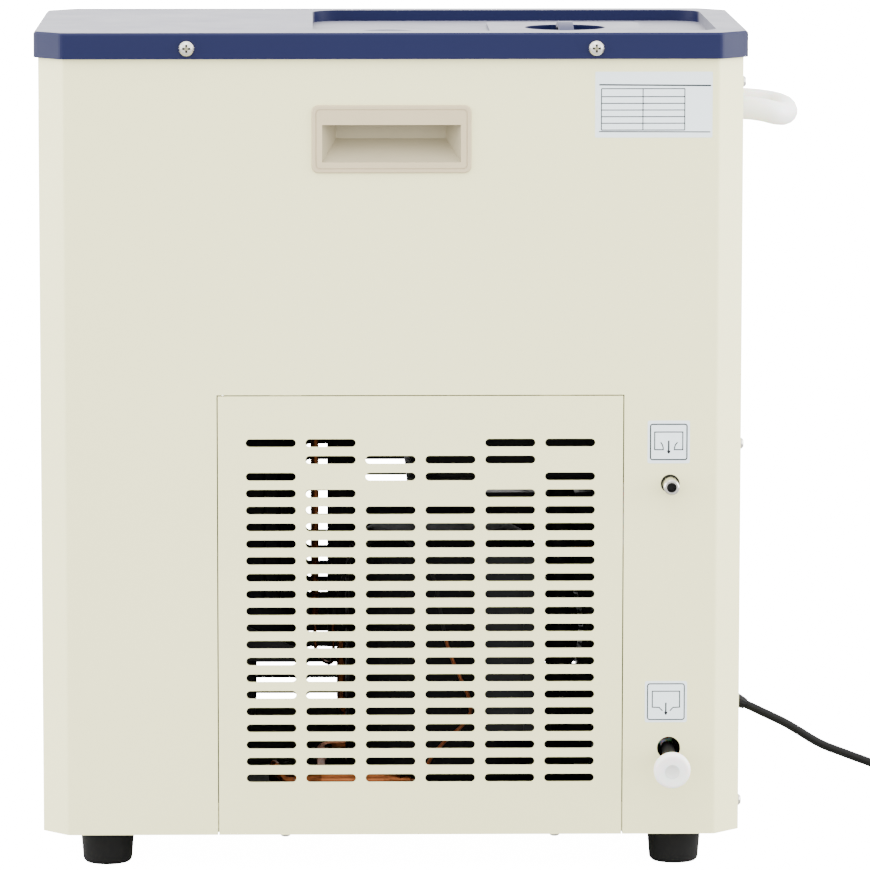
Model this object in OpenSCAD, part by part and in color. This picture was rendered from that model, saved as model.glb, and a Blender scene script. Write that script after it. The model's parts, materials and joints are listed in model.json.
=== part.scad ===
// Recirculating chiller: a cooled tank above a small refrigeration unit, in a folded sheet casing.
// X runs from the control end to the hose end, Y from the near side to the far side, Z up.
// The origin is on the floor, under the middle of the casing.

/* [Casing] */
// Length of the casing, from the control end to the hose end
casing_length = 540; // [520:1:580]
// Width of the casing across its slotted sides
casing_width = 280; // [270:1:320]
// Height of the machine bay, from the casing's underside to the tank's deck
bay_height = 274.3; // [264:0.1:300]
// Leg of the chamfer on each upright corner
corner_chamfer = 20; // [12:1:24]
// Outer radius of the bends beside that chamfer
corner_bend = 4; // [2:0.5:5]
// Thickness of the casing's sheet
sheet = 1.5; // [1:0.1:2]
// Width of the flange folded in at the casing's foot
foot_flange = 12; // [8:1:16]
// Margin of casing left round the back panel
back_margin = 9; // [6:1:14]
// Overlap of the back panel on its seat
seat_lap = 9; // [6:1:12]
// Gap round a panel that lies flush in the casing
seam = 0.9; // [0.5:0.1:1.4]

/* [Base] */
// Thickness of the base tray
base_sheet = 2; // [1.5:0.5:3]
// Height of the base tray's wall
base_wall = 21; // [15:1:28]
// Height of the rubber feet under the casing
foot_height = 28; // [20:1:34]
// Width of a foot at its top
foot_top_d = 42; // [36:1:48]
// Width of a foot at its tread
foot_tread_d = 37; // [30:1:42]
// Distance of a foot from the casing's end
foot_end_inset = 49; // [40:1:80]
// Distance of a foot from the casing's side
foot_side_inset = 40; // [34:1:60]
// Bore for the screw of a foot
foot_bore = 6.4; // [5.4:0.2:8.4]

/* [Vent panels] */
// Width of the opening for a vent panel
vent_w = 313; // [300:1:320]
// Height of that opening from the casing's underside
vent_h = 343.2; // [330:0.1:350]
// Place of the vent panels along the casing
vent_x = 22.3; // [0:0.5:30]
// Length of a slot
slot_l = 38.5; // [30:0.5:42]
// Height of a slot
slot_h = 6.2; // [4:0.2:8]
// Columns of slots
slot_cols = 6; // [4:1:6]
// Rows of slots
slot_rows = 21; // [10:1:21]
// Distance from column to column
slot_pitch_x = 46; // [44:0.5:47]
// Distance from row to row
slot_pitch_z = 13.08; // [11:0.01:13.1]
// Distance of the first row below the panel's top edge
slot_top = 37.1; // [30:0.1:42]
// Distance from row to row on the far panel
far_pitch_z = 12.9; // [11:0.01:13.1]
// Distance of the first row below the top edge on the far panel
far_slot_top = 28; // [26:0.1:40]
// Depth of the returns folded in round a panel
panel_return = 5; // [3:0.5:8]
// Depth of the return under a panel
panel_sole = 20; // [16:1:24]

/* [Cover] */
// Height of the cover's rim
rim_height = 20; // [18:1:30]
// How far the rim stands out from the casing
rim_overhang = 3.5; // [2.5:0.1:6]
// Gap between the rim and the casing inside it
rim_gap = 0.3; // [0.2:0.1:0.6]
// Thickness of the cover's deck
deck_t = 3; // [2:0.5:4]
// Chamfer on the rim's upper edge
rim_bevel = 1.5; // [0.5:0.1:2.4]
// Length of the sunk tray
well_l = 310; // [290:1:320]
// Width of the sunk tray
well_w = 240; // [220:1:250]
// Place of the tray along the casing
well_x = 95; // [85:1:100]
// Depth of the tray
well_depth = 8.7; // [6:0.1:11]
// Corner radius of the tray
well_r = 24; // [12:1:34]
// Thickness of the tray's wall and floor
well_t = 2.5; // [2:0.5:4]
// Width of the shallow dish in the tray's floor
dish_d = 40; // [20:1:60]
// Depth of that dish
dish_depth = 1.2; // [0.5:0.1:2]
// Distance of the rim screws from the casing's middle
rim_screw_x = 156; // [120:1:200]
// Height of the rim screws above the rim's lower edge
rim_screw_up = 8.3; // [6:0.1:10]

/* [Lid] */
// Length of each side of the lid
lid_w = 120; // [112:1:130]
// Thickness of the lid
lid_t = 3; // [2:0.5:4]
// Corner radius of the lid
lid_r = 6; // [3:1:12]
// Side of the filling mouth under the lid
mouth_w = 100; // [90:1:106]
// Gap between the lid's spigot and the mouth
mouth_gap = 1; // [0.5:0.1:2]
// Depth of the lid's spigot
spigot_h = 6; // [4:1:9]
// Width of the round finger hollow
hollow_d = 63; // [56:1:72]
// Depth of the finger hollow
hollow_depth = 15; // [12:1:20]
// Wall of the finger hollow
hollow_t = 2.2; // [1.6:0.2:3]
// Width of the grip bar
grip_w = 11.5; // [8:0.5:16]
// Rise of the grip bar over the lid
grip_rise = 4.5; // [3:0.5:8]
// Thickness of the grip bar
grip_t = 4; // [3:0.5:6]

/* [Hand cups] */
// Length of a hand cup's flange
cup_l = 122; // [110:1:140]
// Height of the flange
cup_h = 52; // [48:1:60]
// How far the flange stands proud
cup_proud = 2; // [1:0.1:3]
// Length of the finger opening
cup_open_l = 106; // [90:1:108]
// Height of the finger opening
cup_open_h = 28.5; // [24:0.5:30]
// Depth of the cup behind the casing's face
cup_depth = 22; // [18:0.5:22]
// Distance of the hand cups below the cover's rim
cup_drop = 61.2; // [50:0.1:80]
// Corner radius of the flange
cup_r = 5.4; // [4:0.2:9]
// Wall of a hand cup
cup_t = 2.2; // [1.6:0.2:3]

/* [Tank] */
// Inside length of the tank
tank_l = 190; // [170:1:192]
// Inside width of the tank
tank_w = 190; // [170:1:192]
// Inside depth of the tank, below its flange
tank_depth = 314; // [300:1:318]
// Sheet of the tank
tank_t = 1.2; // [1:0.1:2]
// Place of the tank along the casing
tank_x = 131; // [126:1:134]
// Thickness of the foam round the tank
foam_t = 18.5; // [14:0.5:19]
// Cut on the upright corners of the foam
foam_cut = 22; // [20:1:30]
// Diameter of the evaporator's tube
evap_tube = 10; // [8:0.5:12]
// Gap between that tube and the tank's wall
evap_gap = 12; // [9:0.5:16]
// Turns of the evaporator
evap_turns = 6; // [3:1:6]
// Distance from turn to turn
evap_pitch = 34; // [26:1:36]

/* [Refrigeration] */
// Diameter of the compressor's can
can_d = 124; // [112:1:126]
// Extra length of the can, which is oval
can_oval = 28; // [20:1:36]
// Height of the can
can_h = 207; // [180:1:210]
// Place of the compressor along the casing
can_x = 41; // [38:1:46]
// Place of the compressor across the casing
can_y = -42; // [-44:1:-40]
// Length of the condenser
cond_l = 190; // [186:1:196]
// Height of the condenser
cond_h = 220; // [206:1:224]
// Depth of the condenser
cond_w = 36; // [30:1:38]
// Place of the condenser along the casing
cond_x = 70; // [66:1:74]
// Distance from fin to fin
fin_pitch = 6; // [5:0.5:10]
// Thickness of a fin
fin_t = 0.6; // [0.4:0.1:1]
// Diameter of the condenser's tubes
cond_tube = 9.5; // [8:0.5:12]
// Diameter of the fan
fan_d = 168; // [150:1:172]
// Number of fan blades
fan_blades = 5; // [3:1:7]
// Diameter of the fan motor
fan_motor_d = 60; // [50:1:64]
// Diameter of the motor shafts
shaft_d = 6; // [5:0.5:8]
// Gap between a shaft and its bearing, on the radius
shaft_gap = 0.05; // [0.02:0.01:0.08]
// Diameter of the liquid and discharge lines
line_d = 8; // [6:0.5:9]
// Diameter of the filter drier
drier_d = 20; // [16:1:24]
// Length of the filter drier
drier_l = 90; // [70:1:96]

/* [Pump] */
// Diameter of the pump motor
pump_d = 88; // [80:1:92]
// Height of the pump motor
pump_h = 148; // [120:1:160]
// Place of the pump along the casing
pump_x = -113; // [-120:1:-111]
// Height of the pump's shelf above the base tray
shelf_h = 118; // [110:1:124]
// Diameter of the volute
volute_d = 96; // [90:1:100]
// Diameter of the pump hoses
hose_d = 16; // [14:0.5:17]

/* [Connections] */
// Distance of the two hose ports below the cover's rim
port_drop = 45.6; // [42:0.1:60]
// Distance of each port from the casing's middle
port_y = 42; // [38:1:46]
// Place of the overflow and the drain along the casing
outlet_x = 214.3; // [208:0.5:216]
// Distance of the overflow nozzle below the underside of the tank's deck
overflow_drop = 0.3; // [0:0.1:0.8]
// Bore of the overflow nozzle
overflow_bore = 7.6; // [5:0.2:8]
// Height of the drain hole
drain_z = 95.5; // [90:0.5:104]
// Width of the drain hole
drain_hole_d = 18; // [16:0.5:22]
// Diameter of the drain tube
drain_tube_d = 10; // [9:0.5:12]
// How far the drain tube droops below the level, in degrees
drain_droop = 6; // [0:1:8]
// Width of the plug's head
plug_head_d = 28.5; // [22:0.5:32]
// How far the plug's face stands out from the casing
plug_face = 50; // [40:1:56]
// Height of the cord gland
gland_z = 94.3; // [80:0.1:100]
// Place of the cord gland across the back
gland_y = 80; // [70:1:90]

/* [Controls] */
// Length of the control bezel
bezel_l = 195; // [180:1:205]
// Height of the control bezel
bezel_h = 105; // [100:1:115]
// Distance of the bezel's middle below the cover's rim
bezel_drop = 92; // [70:1:120]
// Depth of the bezel's recess
bezel_depth = 7; // [6:0.5:9]
// Diameter of a key
key_d = 10; // [8:0.5:12]
// Travel of a key
key_travel = 1.2; // [0.8:0.1:1.5]
// Length of a rocker
rocker_l = 16.2; // [14:0.2:17]
// Width of a rocker
rocker_w = 10.2; // [8:0.2:11]
// Tilt of a rocker to each side
rocker_tilt = 10; // [6:1:12]

/* [Cord] */
// Diameter of the mains cord
cord_d = 7; // [6:0.5:8]

/* [Hidden] */
$fn = 48;

paint = [0.87, 0.86, 0.81];
blue = [0.2, 0.26, 0.47];
beige = [0.84, 0.8, 0.74];
copper = [0.72, 0.45, 0.3];
black = [0.1, 0.1, 0.1];
milky = [0.92, 0.92, 0.9];
brass = [0.78, 0.72, 0.55];
hose_grey = [0.25, 0.25, 0.26];
key_grey = [0.8, 0.8, 0.78];
cord_black = [0.06, 0.06, 0.06];

half_l = casing_length / 2;
half_w = casing_width / 2;
casing_z = foot_height;
foam_gap = 0.3;
lid_seat_gap = 0.3;
deck_plate_t = 1.5;
tank_deck_z = casing_z + bay_height;
foam_z = tank_deck_z + deck_plate_t;
tank_floor = foam_z + foam_t + foam_gap + tank_t;
tank_top = tank_floor + tank_depth;
well_z = tank_top + lid_seat_gap + well_t;
top_z = well_z + well_depth;
rim_z = top_z - rim_height;
deck_z = top_z - deck_t;
shell_top = deck_z - 4;
tray_z = casing_z + sheet;
floor_z = tray_z + base_sheet;
tray_gap = 0.3;
tray_inset = 2 * sheet + tray_gap;
vent_left = vent_x - vent_w / 2;
vent_right = vent_x + vent_w / 2;
vent_top = casing_z + vent_h;
inner_y = half_w - sheet;
inner_x = half_l - sheet;
cup_z = rim_z - cup_drop;
port_z = rim_z - port_drop;
bezel_z = rim_z - bezel_drop;
overflow_z = tank_deck_z - overflow_drop;
// Columns left open in the first rows, counted from zero, where the pattern is broken
short_rows = [[0, 1, 4, 5], [1, 2, 3, 4], [0, 2, 3, 5], [0, 1, 4, 5]];

// Panels and screws
hook_w = 24;
hook_rise = 10;
panel_screw_d = 4;
panel_screw_inset = 9;
panel_screw_head = 9;
rim_screw_d = 6;
rim_screw_head = 12.4;
rim_screw_z = rim_z + rim_screw_up;
screw_gap = 0.2;
back_open_w = casing_width - 2 * corner_chamfer - 2 * back_margin;
back_open_z0 = casing_z + 10;
back_open_z1 = rim_z - 8;
back_screw_y = back_open_w / 2 - 5;
back_screw_z0 = back_open_z0 + 10;
back_screw_z1 = back_open_z1 - 12;

// Hand cups
cup_open_drop = 3.5;
cup_line = 0.5;

// Cover and lid
lid_offset = 7;
lid_x = tank_x + lid_offset;
lid_top = well_z + lid_t;
hollow_z = lid_top - hollow_depth;
grip_span = hollow_d + 3;
grip_r = (grip_span * grip_span / 4 + grip_rise * grip_rise) / (2 * grip_rise);

// Tank
tank_flange = 8;
foam_l = tank_l + 2 * (tank_t + foam_gap + foam_t);
foam_w = tank_w + 2 * (tank_t + foam_gap + foam_t);
foam_x0 = tank_x - foam_l / 2;
foam_x1 = tank_x + foam_l / 2;
deck_plate_y = half_w - panel_return - 1;
deck_tab_x = vent_right + 2;
deck_flange = 12;
tank_x0 = tank_x - tank_l / 2;
tank_x1 = tank_x + tank_l / 2;
stub_d = 13;
stub_bore = 9;
feed_y = -34;
feed_z = tank_floor + 24;
probe_d = 6;
probe_y = 36;
probe_z = tank_floor + 16;
probe_l = 62;
evap_z = tank_floor + 42;
evap_hx = tank_l / 2 - evap_gap - evap_tube / 2;
evap_hy = tank_w / 2 - evap_gap - evap_tube / 2;
evap_bend = 15;
evap_gap_wall = 0.2;
evap_out_y = 14;
drain_out_x = 186;
drain_out_y = -58;
gap_y = -(half_w + foam_w / 2 - sheet) / 2;

// Compressor
mount_h = 13;
mount_d = 24;
can_z = floor_z + mount_h + 4;
discharge_z = can_z + 170;
ear_x = 76;
ear_y = 46;

// Condenser and fan
cond_y1 = half_w - 12;
cond_y0 = cond_y1 - cond_w;
cond_z = floor_z;
cond_foot = 12;
cond_x0 = cond_x - cond_l / 2;
cond_x1 = cond_x + cond_l / 2;
cond_top = cond_z + cond_foot + cond_h;
fan_z = cond_z + cond_foot + cond_h / 2;
shroud_t = 1.5;
shroud_y1 = cond_y0 - 0.3;
shroud_y0 = shroud_y1 - 15;
fan_tip_gap = 4;
hub_d = 36;
hub_y0 = shroud_y0 - 15;
hub_y1 = hub_y0 + 24;
motor_y1 = hub_y0 - 2;
motor_y0 = motor_y1 - 34;
shaft_len = 22;
clamp_y = motor_y0 + 16;
clamp_w = 6;
clamp_t = 3;
leg_w = 6;

// Pump
shelf_z = floor_z + shelf_h;
shelf_t = 2;
partition_x = pump_x - 74;
partition_t = 1.5;
volute_z = shelf_z + shelf_t;
volute_h = 30;
pump_cover_t = 6;
rotor_d = 56;
rotor_h = 14;
rotor_gap = 1;
chamber_d = 62;
chamber_h = rotor_h + 2 * rotor_gap;
chamber_z = volute_z + pump_cover_t;
motor_z = volute_z + volute_h;
pump_top = motor_z + pump_h;
inlet_z = shelf_z - 20;
outlet_z = chamber_z + 12;
outlet_x_pump = pump_x - volute_d / 2 + stub_d / 2 + 4;
outlet_y_pump = volute_d / 2 + 14;
bolt_r = volute_d / 2 - 6;

// Ports
port_hex = 24;
port_flange = 3;
port_barb_d = 12.6;
port_barb_l = 24;
port_thread_d = 16;
port_bore = 8.5;
port_inner = 13;
loop_reach = 36;
loop_sag = 5;
elbow_x = (inner_x - 2 * sheet + foam_x1) / 2;
overflow_tip = 21;
overflow_flange_d = 24;
overflow_d = 12;
overflow_inner_d = 11.6;
overflow_barb = 10;
overflow_hose_d = 12.5;
overflow_hole_d = 14.6;
overflow_up_z = tank_top - 26;
drain_axis_z = drain_z - (drain_hole_d - drain_tube_d) / 2 + 0.1;
drain_tube_in = 16;
plug_t = 9;
plug_stem_d = 6;
plug_stem_l = 18;
plug_gap = 0.05;

// Controls
bezel_t = 2.5;
bezel_lip = 7;
bezel_front = 0.3;
bezel_floor_x = -half_l + bezel_depth;
window_l = 76;
window_h = 32;
window_up = 22;
key_y = [-39, -13, 13, 39];
key_up_z = -6;
key_gap = 0.4;
key_head = 2.6;
key_lip = 1.25;
key_lip_t = 1.2;
switch_y = [-52, 0, 52];
switch_up = -32;
switch_gap = 0.45;
switch_wall = 1.6;
switch_flange = 1.5;
switch_depth = 21;
rocker_r = rocker_l / 2;
rocker_pivot = bezel_floor_x + 1;
rocker_crown = 3;
pivot_d = 2.4;
board_x = bezel_floor_x + bezel_t + 6;

// Pipe routes, as corner points that are rounded afterwards
bore_gap = 0.1;
drier_x = -30;
drier_y = -half_w + 22;
drier_z = floor_z + 35;
suction_x = -37;
suction_y = 2;
suction_z = 96;
sleeve_d = 24;
evap_line_x = -59;
evap_line_y = -8;

// Cord, from the gland to the coil
cord_route = [
    [290.4, 80, 89], [296, 80, 86.4], [303, 80, 83], [312, 80, 78.7], [321, 80, 74.3],
    [333, 80, 67.3], [346, 80, 59.2], [356, 80, 54.2], [366, 80, 50.4], [378, 80, 45.8],
    [392, 80, 40.6], [404, 80, 35.3], [416, 80, 28.7], [428, 80, 21], [439, 80, 13.6],
    [449, 80, 8], [458, 79.4, 4.8], [468, 76.8, 3.7], [477.5, 72, 3.6], [486, 65.2, 3.6],
    [493.6, 57.4, 3.6]
];
// Cord, from the coil to the plug
plug_route = [
    [472, -33.5, 6.6], [466.5, -42, 4.9], [461.5, -52, 4.6], [458, -62, 6.6], [456.4, -71, 10.8],
    [456, -79, 15.6], [456, -85.6, 18.3], [456, -90, 18.7]
];
coil_x = 450;
coil_y = 20;
coil_mid_d = 82;
coil_band = 25;
coil_h = 2 * cord_d + 0.3;
mains_plug_d = 37;

function unit(v) = v / norm(v);
function mix(a, b, t) = a + (b - a) * t;
function heading(p, i) =
    i == 0 ? unit(p[1] - p[0])
    : i == len(p) - 1 ? unit(p[i] - p[i - 1])
    : unit(unit(p[i + 1] - p[i]) + unit(p[i] - p[i - 1]));
function square_to(v, t) = unit(v - (v * t) * t);
function any_side(t) = abs(t[2]) > 0.9 ? [1, 0, 0] : [0, 0, 1];
function side_at(p, i) = i == 0
    ? square_to(any_side(heading(p, 0)), heading(p, 0))
    : square_to(side_at(p, i - 1), heading(p, i));
function all_sides(p) = [
    for (i = 0, n = square_to(any_side(heading(p, 0)), heading(p, 0)); i < len(p);
         i = i + 1, n = i < len(p) ? square_to(n, heading(p, i)) : n) n
];
// Each corner of a route becomes a short curve that starts and ends at the distance r from it
function rounded(p, r, steps) = [
    p[0],
    for (i = [1 : len(p) - 2])
        let (reach_in = min(r, norm(p[i - 1] - p[i]) / 2.05), reach_out = min(r, norm(p[i + 1] - p[i]) / 2.05))
        let (a = p[i] + reach_in * unit(p[i - 1] - p[i]), b = p[i] + reach_out * unit(p[i + 1] - p[i]))
        for (k = [0 : steps]) let (t = k / steps) (1 - t) * (1 - t) * a + 2 * t * (1 - t) * p[i] + t * t * b,
    p[len(p) - 1]
];

function soft_corners(p, reach, steps) = [
    for (i = [0 : len(p) - 1])
        let (before = p[(i + len(p) - 1) % len(p)], after = p[(i + 1) % len(p)])
        let (a = p[i] + reach * unit(before - p[i]), b = p[i] + reach * unit(after - p[i]))
        for (k = [0 : steps]) let (t = k / steps) (1 - t) * (1 - t) * a + 2 * t * (1 - t) * p[i] + t * t * b
];
function width_at(d, i) = is_num(d) ? d : d[i];

module sweep(p, d, sides = 8) {
    n = len(p);
    normals = all_sides(p);
    ring_points = [
        for (i = [0 : n - 1]) let (t = heading(p, i), u = normals[i], v = cross(t, u))
            for (k = [0 : sides - 1]) let (a = 360 * k / sides)
                p[i] + width_at(d, i) / 2 * (cos(a) * u + sin(a) * v)
    ];
    start_cap = [[for (k = [0 : sides - 1]) k]];
    end_cap = [[for (k = [0 : sides - 1]) n * sides - 1 - k]];
    walls = [
        for (i = [0 : n - 2]) for (k = [0 : sides - 1])
            let (a = i * sides + k, b = i * sides + (k + 1) % sides, c = a + sides, e = b + sides)
                each [[a, c, e], [a, e, b]]
    ];
    polyhedron(ring_points, concat(start_cap, end_cap, walls), convexity = 6);
}

// Chamfered rectangle, set in from the casing's outline by a distance
module outline(inset) {
    l = half_l - inset;
    w = half_w - inset;
    c = corner_chamfer - inset * (2 - sqrt(2));
    reach = max(corner_bend - inset, 0.8) * tan(22.5);
    polygon(soft_corners([
        [l, w - c], [l - c, w], [c - l, w], [-l, w - c],
        [-l, c - w], [c - l, -w], [l - c, -w], [l, c - w]
    ], reach, 3));
}

module round_rect(l, w, r) {
    square([l, w - 2 * r], center = true);
    square([l - 2 * r, w], center = true);
    for (x = [-1, 1], y = [-1, 1]) translate([x * (l / 2 - r), y * (w / 2 - r)]) circle(r);
}

// Lays a flat shape upright across Y, from y over a thickness t
module upright(y, t) {
    translate([0, y + t, 0]) rotate([90, 0, 0]) linear_extrude(t) children();
}

// Lays a flat shape upright across X, from x over a thickness t, with its own x along Y
module endwise(x, t) {
    translate([x, 0, 0]) rotate([90, 0, 90]) linear_extrude(t) children();
}

// Turns a shape that points up so that it points out of the near side, the far side or an end
module facing_near() { rotate([90, 0, 0]) children(); }
module facing_far() { rotate([-90, 0, 0]) children(); }
module facing_back() { rotate([0, 90, 0]) children(); }
module facing_front() { rotate([0, -90, 0]) children(); }

module both_sides() {
    children();
    mirror([0, 1, 0]) children();
}

module pan_screw(head_d, shank_d, shank_l) {
    head_h = head_d * 0.34;
    slot_w = head_d * 0.13;
    slot_l_cross = head_d * 0.5;
    difference() {
        rotate_extrude() {
            polygon(concat(
                [[0, 0], [head_d / 2, 0]],
                [for (a = [10 : 20 : 90]) [head_d / 2 * cos(a * 0.8) - (a > 80 ? head_d / 2 * cos(72) : 0),
                    head_h * sin(a)]]
            ));
        }
        translate([0, 0, head_h * 0.5]) {
            translate([-slot_l_cross / 2, -slot_w / 2, 0]) cube([slot_l_cross, slot_w, head_h]);
            translate([-slot_w / 2, -slot_l_cross / 2, 0]) cube([slot_w, slot_l_cross, head_h]);
        }
    }
    translate([0, 0, -shank_l]) cylinder(d = shank_d, h = shank_l + 0.01);
}

// Casing

module shell_openings() {
    both_sides() {
        translate([vent_left, -half_w - 1, casing_z - 1]) cube([vent_w, foot_flange + sheet + 2, vent_h + 1]);
        translate([0, -half_w - 1, cup_z]) facing_far() linear_extrude(sheet + 2)
            round_rect(cup_l - 8, cup_h - 6, 4);
        for (x = [-1, 1])
            translate([x * rim_screw_x, -half_w - 1, rim_screw_z]) facing_far()
                cylinder(d = rim_screw_d + screw_gap, h = sheet + 2);
    }
    translate([outlet_x, -half_w - 1, overflow_z]) facing_far() cylinder(d = overflow_hole_d, h = sheet + 2);
    translate([outlet_x, -half_w - 1, drain_z]) facing_far() cylinder(d = drain_hole_d, h = sheet + 2);
    translate([inner_x - 1, -back_open_w / 2, back_open_z0])
        cube([sheet + 2, back_open_w, back_open_z1 - back_open_z0]);
    translate([-half_l - 1, 0, bezel_z]) facing_back() linear_extrude(sheet + 2)
        round_rect(bezel_h + 1, bezel_l + 1, 6.5);
}

module back_seat() {
    difference() {
        endwise(inner_x - sheet, sheet) translate([0, (back_open_z0 + back_open_z1) / 2])
            square([back_open_w + 8, back_open_z1 - back_open_z0 + 8], center = true);
        endwise(inner_x - sheet - 1, sheet + 2) translate([0, (back_open_z0 + back_open_z1) / 2])
            square([back_open_w - 2 * seat_lap, back_open_z1 - back_open_z0 - 2 * seat_lap], center = true);
        back_screw_places() cylinder(d = panel_screw_d, h = 3 * sheet + 2, center = true);
    }
}

module back_screw_places() {
    for (y = [-1, 1], z = [back_screw_z0, (back_screw_z0 + back_screw_z1) / 2, back_screw_z1])
        translate([half_l, y * back_screw_y, z]) facing_back() children();
}

module casing_shell() {
    color(paint) {
        difference() {
            translate([0, 0, casing_z]) linear_extrude(shell_top - casing_z) outline(0);
            translate([0, 0, tray_z]) linear_extrude(shell_top) outline(sheet);
            translate([0, 0, casing_z - 1]) linear_extrude(sheet + 2) outline(foot_flange);
            shell_openings();
        }
        back_seat();
    }
}

module back_panel() {
    mid_z = (back_open_z0 + back_open_z1) / 2;
    color(paint) difference() {
        endwise(inner_x, sheet) translate([0, mid_z])
            square([back_open_w - 2 * seam, back_open_z1 - back_open_z0 - 2 * seam], center = true);
        back_screw_places() cylinder(d = panel_screw_d + screw_gap, h = 3 * sheet, center = true);
        for (y = [-port_y, port_y])
            translate([half_l, y, port_z]) facing_back()
                cylinder(d = port_thread_d + 2 * bore_gap, h = 3 * sheet, center = true);
        translate([half_l, gland_y, gland_z]) facing_back()
            cylinder(d = gland_thread_d + 2 * bore_gap, h = 3 * sheet, center = true);
    }
}

module foot_places() {
    for (x = [-1, 1], y = [-1, 1])
        translate([x * (half_l - foot_end_inset), y * (half_w - foot_side_inset), 0]) children();
}

module base_tray() {
    color(paint) difference() {
        translate([0, 0, tray_z]) linear_extrude(base_sheet + base_wall) outline(tray_inset);
        translate([0, 0, floor_z]) linear_extrude(base_wall + 1) outline(tray_inset + base_sheet);
        foot_places() translate([0, 0, tray_z - 1]) cylinder(d = foot_bore, h = base_sheet + 2);
        both_sides() panel_screw_places()
            translate([0, 0, -sheet]) cylinder(d = panel_screw_d, h = 2 * sheet + base_sheet + 2);
        back_screw_places() cylinder(d = panel_screw_d + screw_gap, h = 24, center = true);
    }
}

module panel_screw_places() {
    for (x = [-1, 1])
        translate([vent_x + x * vent_w / 3, -half_w + panel_screw_inset, casing_z]) children();
}

function slot_open(col, row) = row >= len(short_rows) || len(search(col, short_rows[row])) > 0;

module slots(top, pitch) {
    for (row = [0 : slot_rows - 1], col = [0 : slot_cols - 1])
        if (slot_open(col, row))
            translate([vent_x + (col - (slot_cols - 1) / 2) * slot_pitch_x,
                vent_top - top - row * pitch]) {
                square([slot_l - slot_h, slot_h], center = true);
                for (x = [-1, 1]) translate([x * (slot_l - slot_h) / 2, 0]) circle(d = slot_h);
            }
}

module vent_panel(top, pitch) {
    w = vent_w - 2 * seam;
    h = vent_h - seam;
    edge = floor_z + base_wall + 1;
    y0 = -half_w;
    difference() {
        union() {
            upright(y0, sheet) difference() {
                translate([vent_x - w / 2, casing_z]) square([w, h]);
                slots(top, pitch);
            }
            translate([vent_x - w / 2, y0, casing_z]) cube([w, panel_sole, sheet]);
            translate([vent_x - w / 2, y0, casing_z + h - sheet]) cube([w, panel_return, sheet]);
            for (x = [vent_x - w / 2, vent_x + w / 2 - sheet])
                translate([x, y0, edge]) cube([sheet, panel_return, casing_z + h - edge]);
            for (x = [-1, 1])
                translate([vent_x + x * w / 3 - hook_w / 2, y0 + panel_return - sheet, casing_z + h - sheet])
                    cube([hook_w, sheet, hook_rise + seam + sheet]);
        }
        panel_screw_places() translate([0, 0, -1]) cylinder(d = panel_screw_d + screw_gap, h = sheet + 2);
    }
}

module vent_panel_near() {
    color(paint) vent_panel(slot_top, slot_pitch_z);
}

module vent_panel_far() {
    color(paint) mirror([0, 1, 0]) vent_panel(far_slot_top, far_pitch_z);
}

module casing_screws() {
    color([0.8, 0.8, 0.8]) {
        both_sides() {
            for (x = [-1, 1])
                translate([x * rim_screw_x, -half_w - rim_overhang, rim_screw_z]) facing_near()
                    pan_screw(rim_screw_head, rim_screw_d, 14);
            panel_screw_places() rotate([180, 0, 0]) pan_screw(panel_screw_head, panel_screw_d, 9);
        }
        back_screw_places() pan_screw(panel_screw_head, panel_screw_d, 8);
    }
}

module feet() {
    wall = 4;
    color([0.16, 0.16, 0.16]) foot_places() rotate_extrude() polygon([
        [foot_bore / 2, tray_z], [foot_top_d / 2, tray_z], [foot_top_d / 2, tray_z - 3],
        [foot_tread_d / 2 + 0.6, 3], [foot_tread_d / 2, 1.4], [foot_tread_d / 2 - 1.4, 0],
        [foot_tread_d / 2 - wall - 4, 0], [foot_tread_d / 2 - wall - 4.6, 11], [foot_bore / 2, 11]
    ]);
}

module foot_screws() {
    color([0.75, 0.75, 0.77]) foot_places() {
        translate([0, 0, 11]) rotate([180, 0, 0]) pan_screw(13, foot_bore - 2 * screw_gap, floor_z - 11 + 7);
        translate([0, 0, floor_z]) difference() {
            cylinder(d = 13, h = 5, $fn = 6);
            translate([0, 0, -1]) cylinder(d = foot_bore - 2 * screw_gap + 0.1, h = 7);
        }
    }
}

// Cover and lid

module top_cover() {
    wall_in = -rim_gap;
    color(blue) difference() {
        union() {
            difference() {
                hull() {
                    translate([0, 0, rim_z]) linear_extrude(rim_height - rim_bevel) outline(-rim_overhang);
                    translate([0, 0, top_z - 0.01]) linear_extrude(0.01) outline(rim_bevel - rim_overhang);
                }
                translate([0, 0, rim_z - 1]) linear_extrude(deck_z - rim_z + 1) outline(wall_in);
            }
            translate([well_x, 0, well_z - well_t]) linear_extrude(well_depth + well_t - 0.5)
                round_rect(well_l + 2 * well_t, well_w + 2 * well_t, well_r + well_t);
        }
        translate([well_x, 0, well_z]) linear_extrude(well_depth + 1) round_rect(well_l, well_w, well_r);
        translate([lid_x, 0, well_z - well_t - 1]) linear_extrude(well_t + 2) round_rect(mouth_w, mouth_w, 8);
        translate([-1, 0, well_z]) dish();
        both_sides() for (x = [-1, 1])
            translate([x * rim_screw_x, -half_w - rim_overhang - 1, rim_screw_z]) facing_far()
                cylinder(d = rim_screw_d + screw_gap, h = rim_overhang + 2);
    }
}

module dish() {
    r = (dish_d * dish_d / 4 + dish_depth * dish_depth) / (2 * dish_depth);
    translate([0, 0, r - dish_depth]) rotate_extrude($fn = 96) intersection() {
        circle(r, $fn = 720);
        translate([0, -r]) square([dish_d, dish_depth + 0.4]);
    }
}

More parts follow.
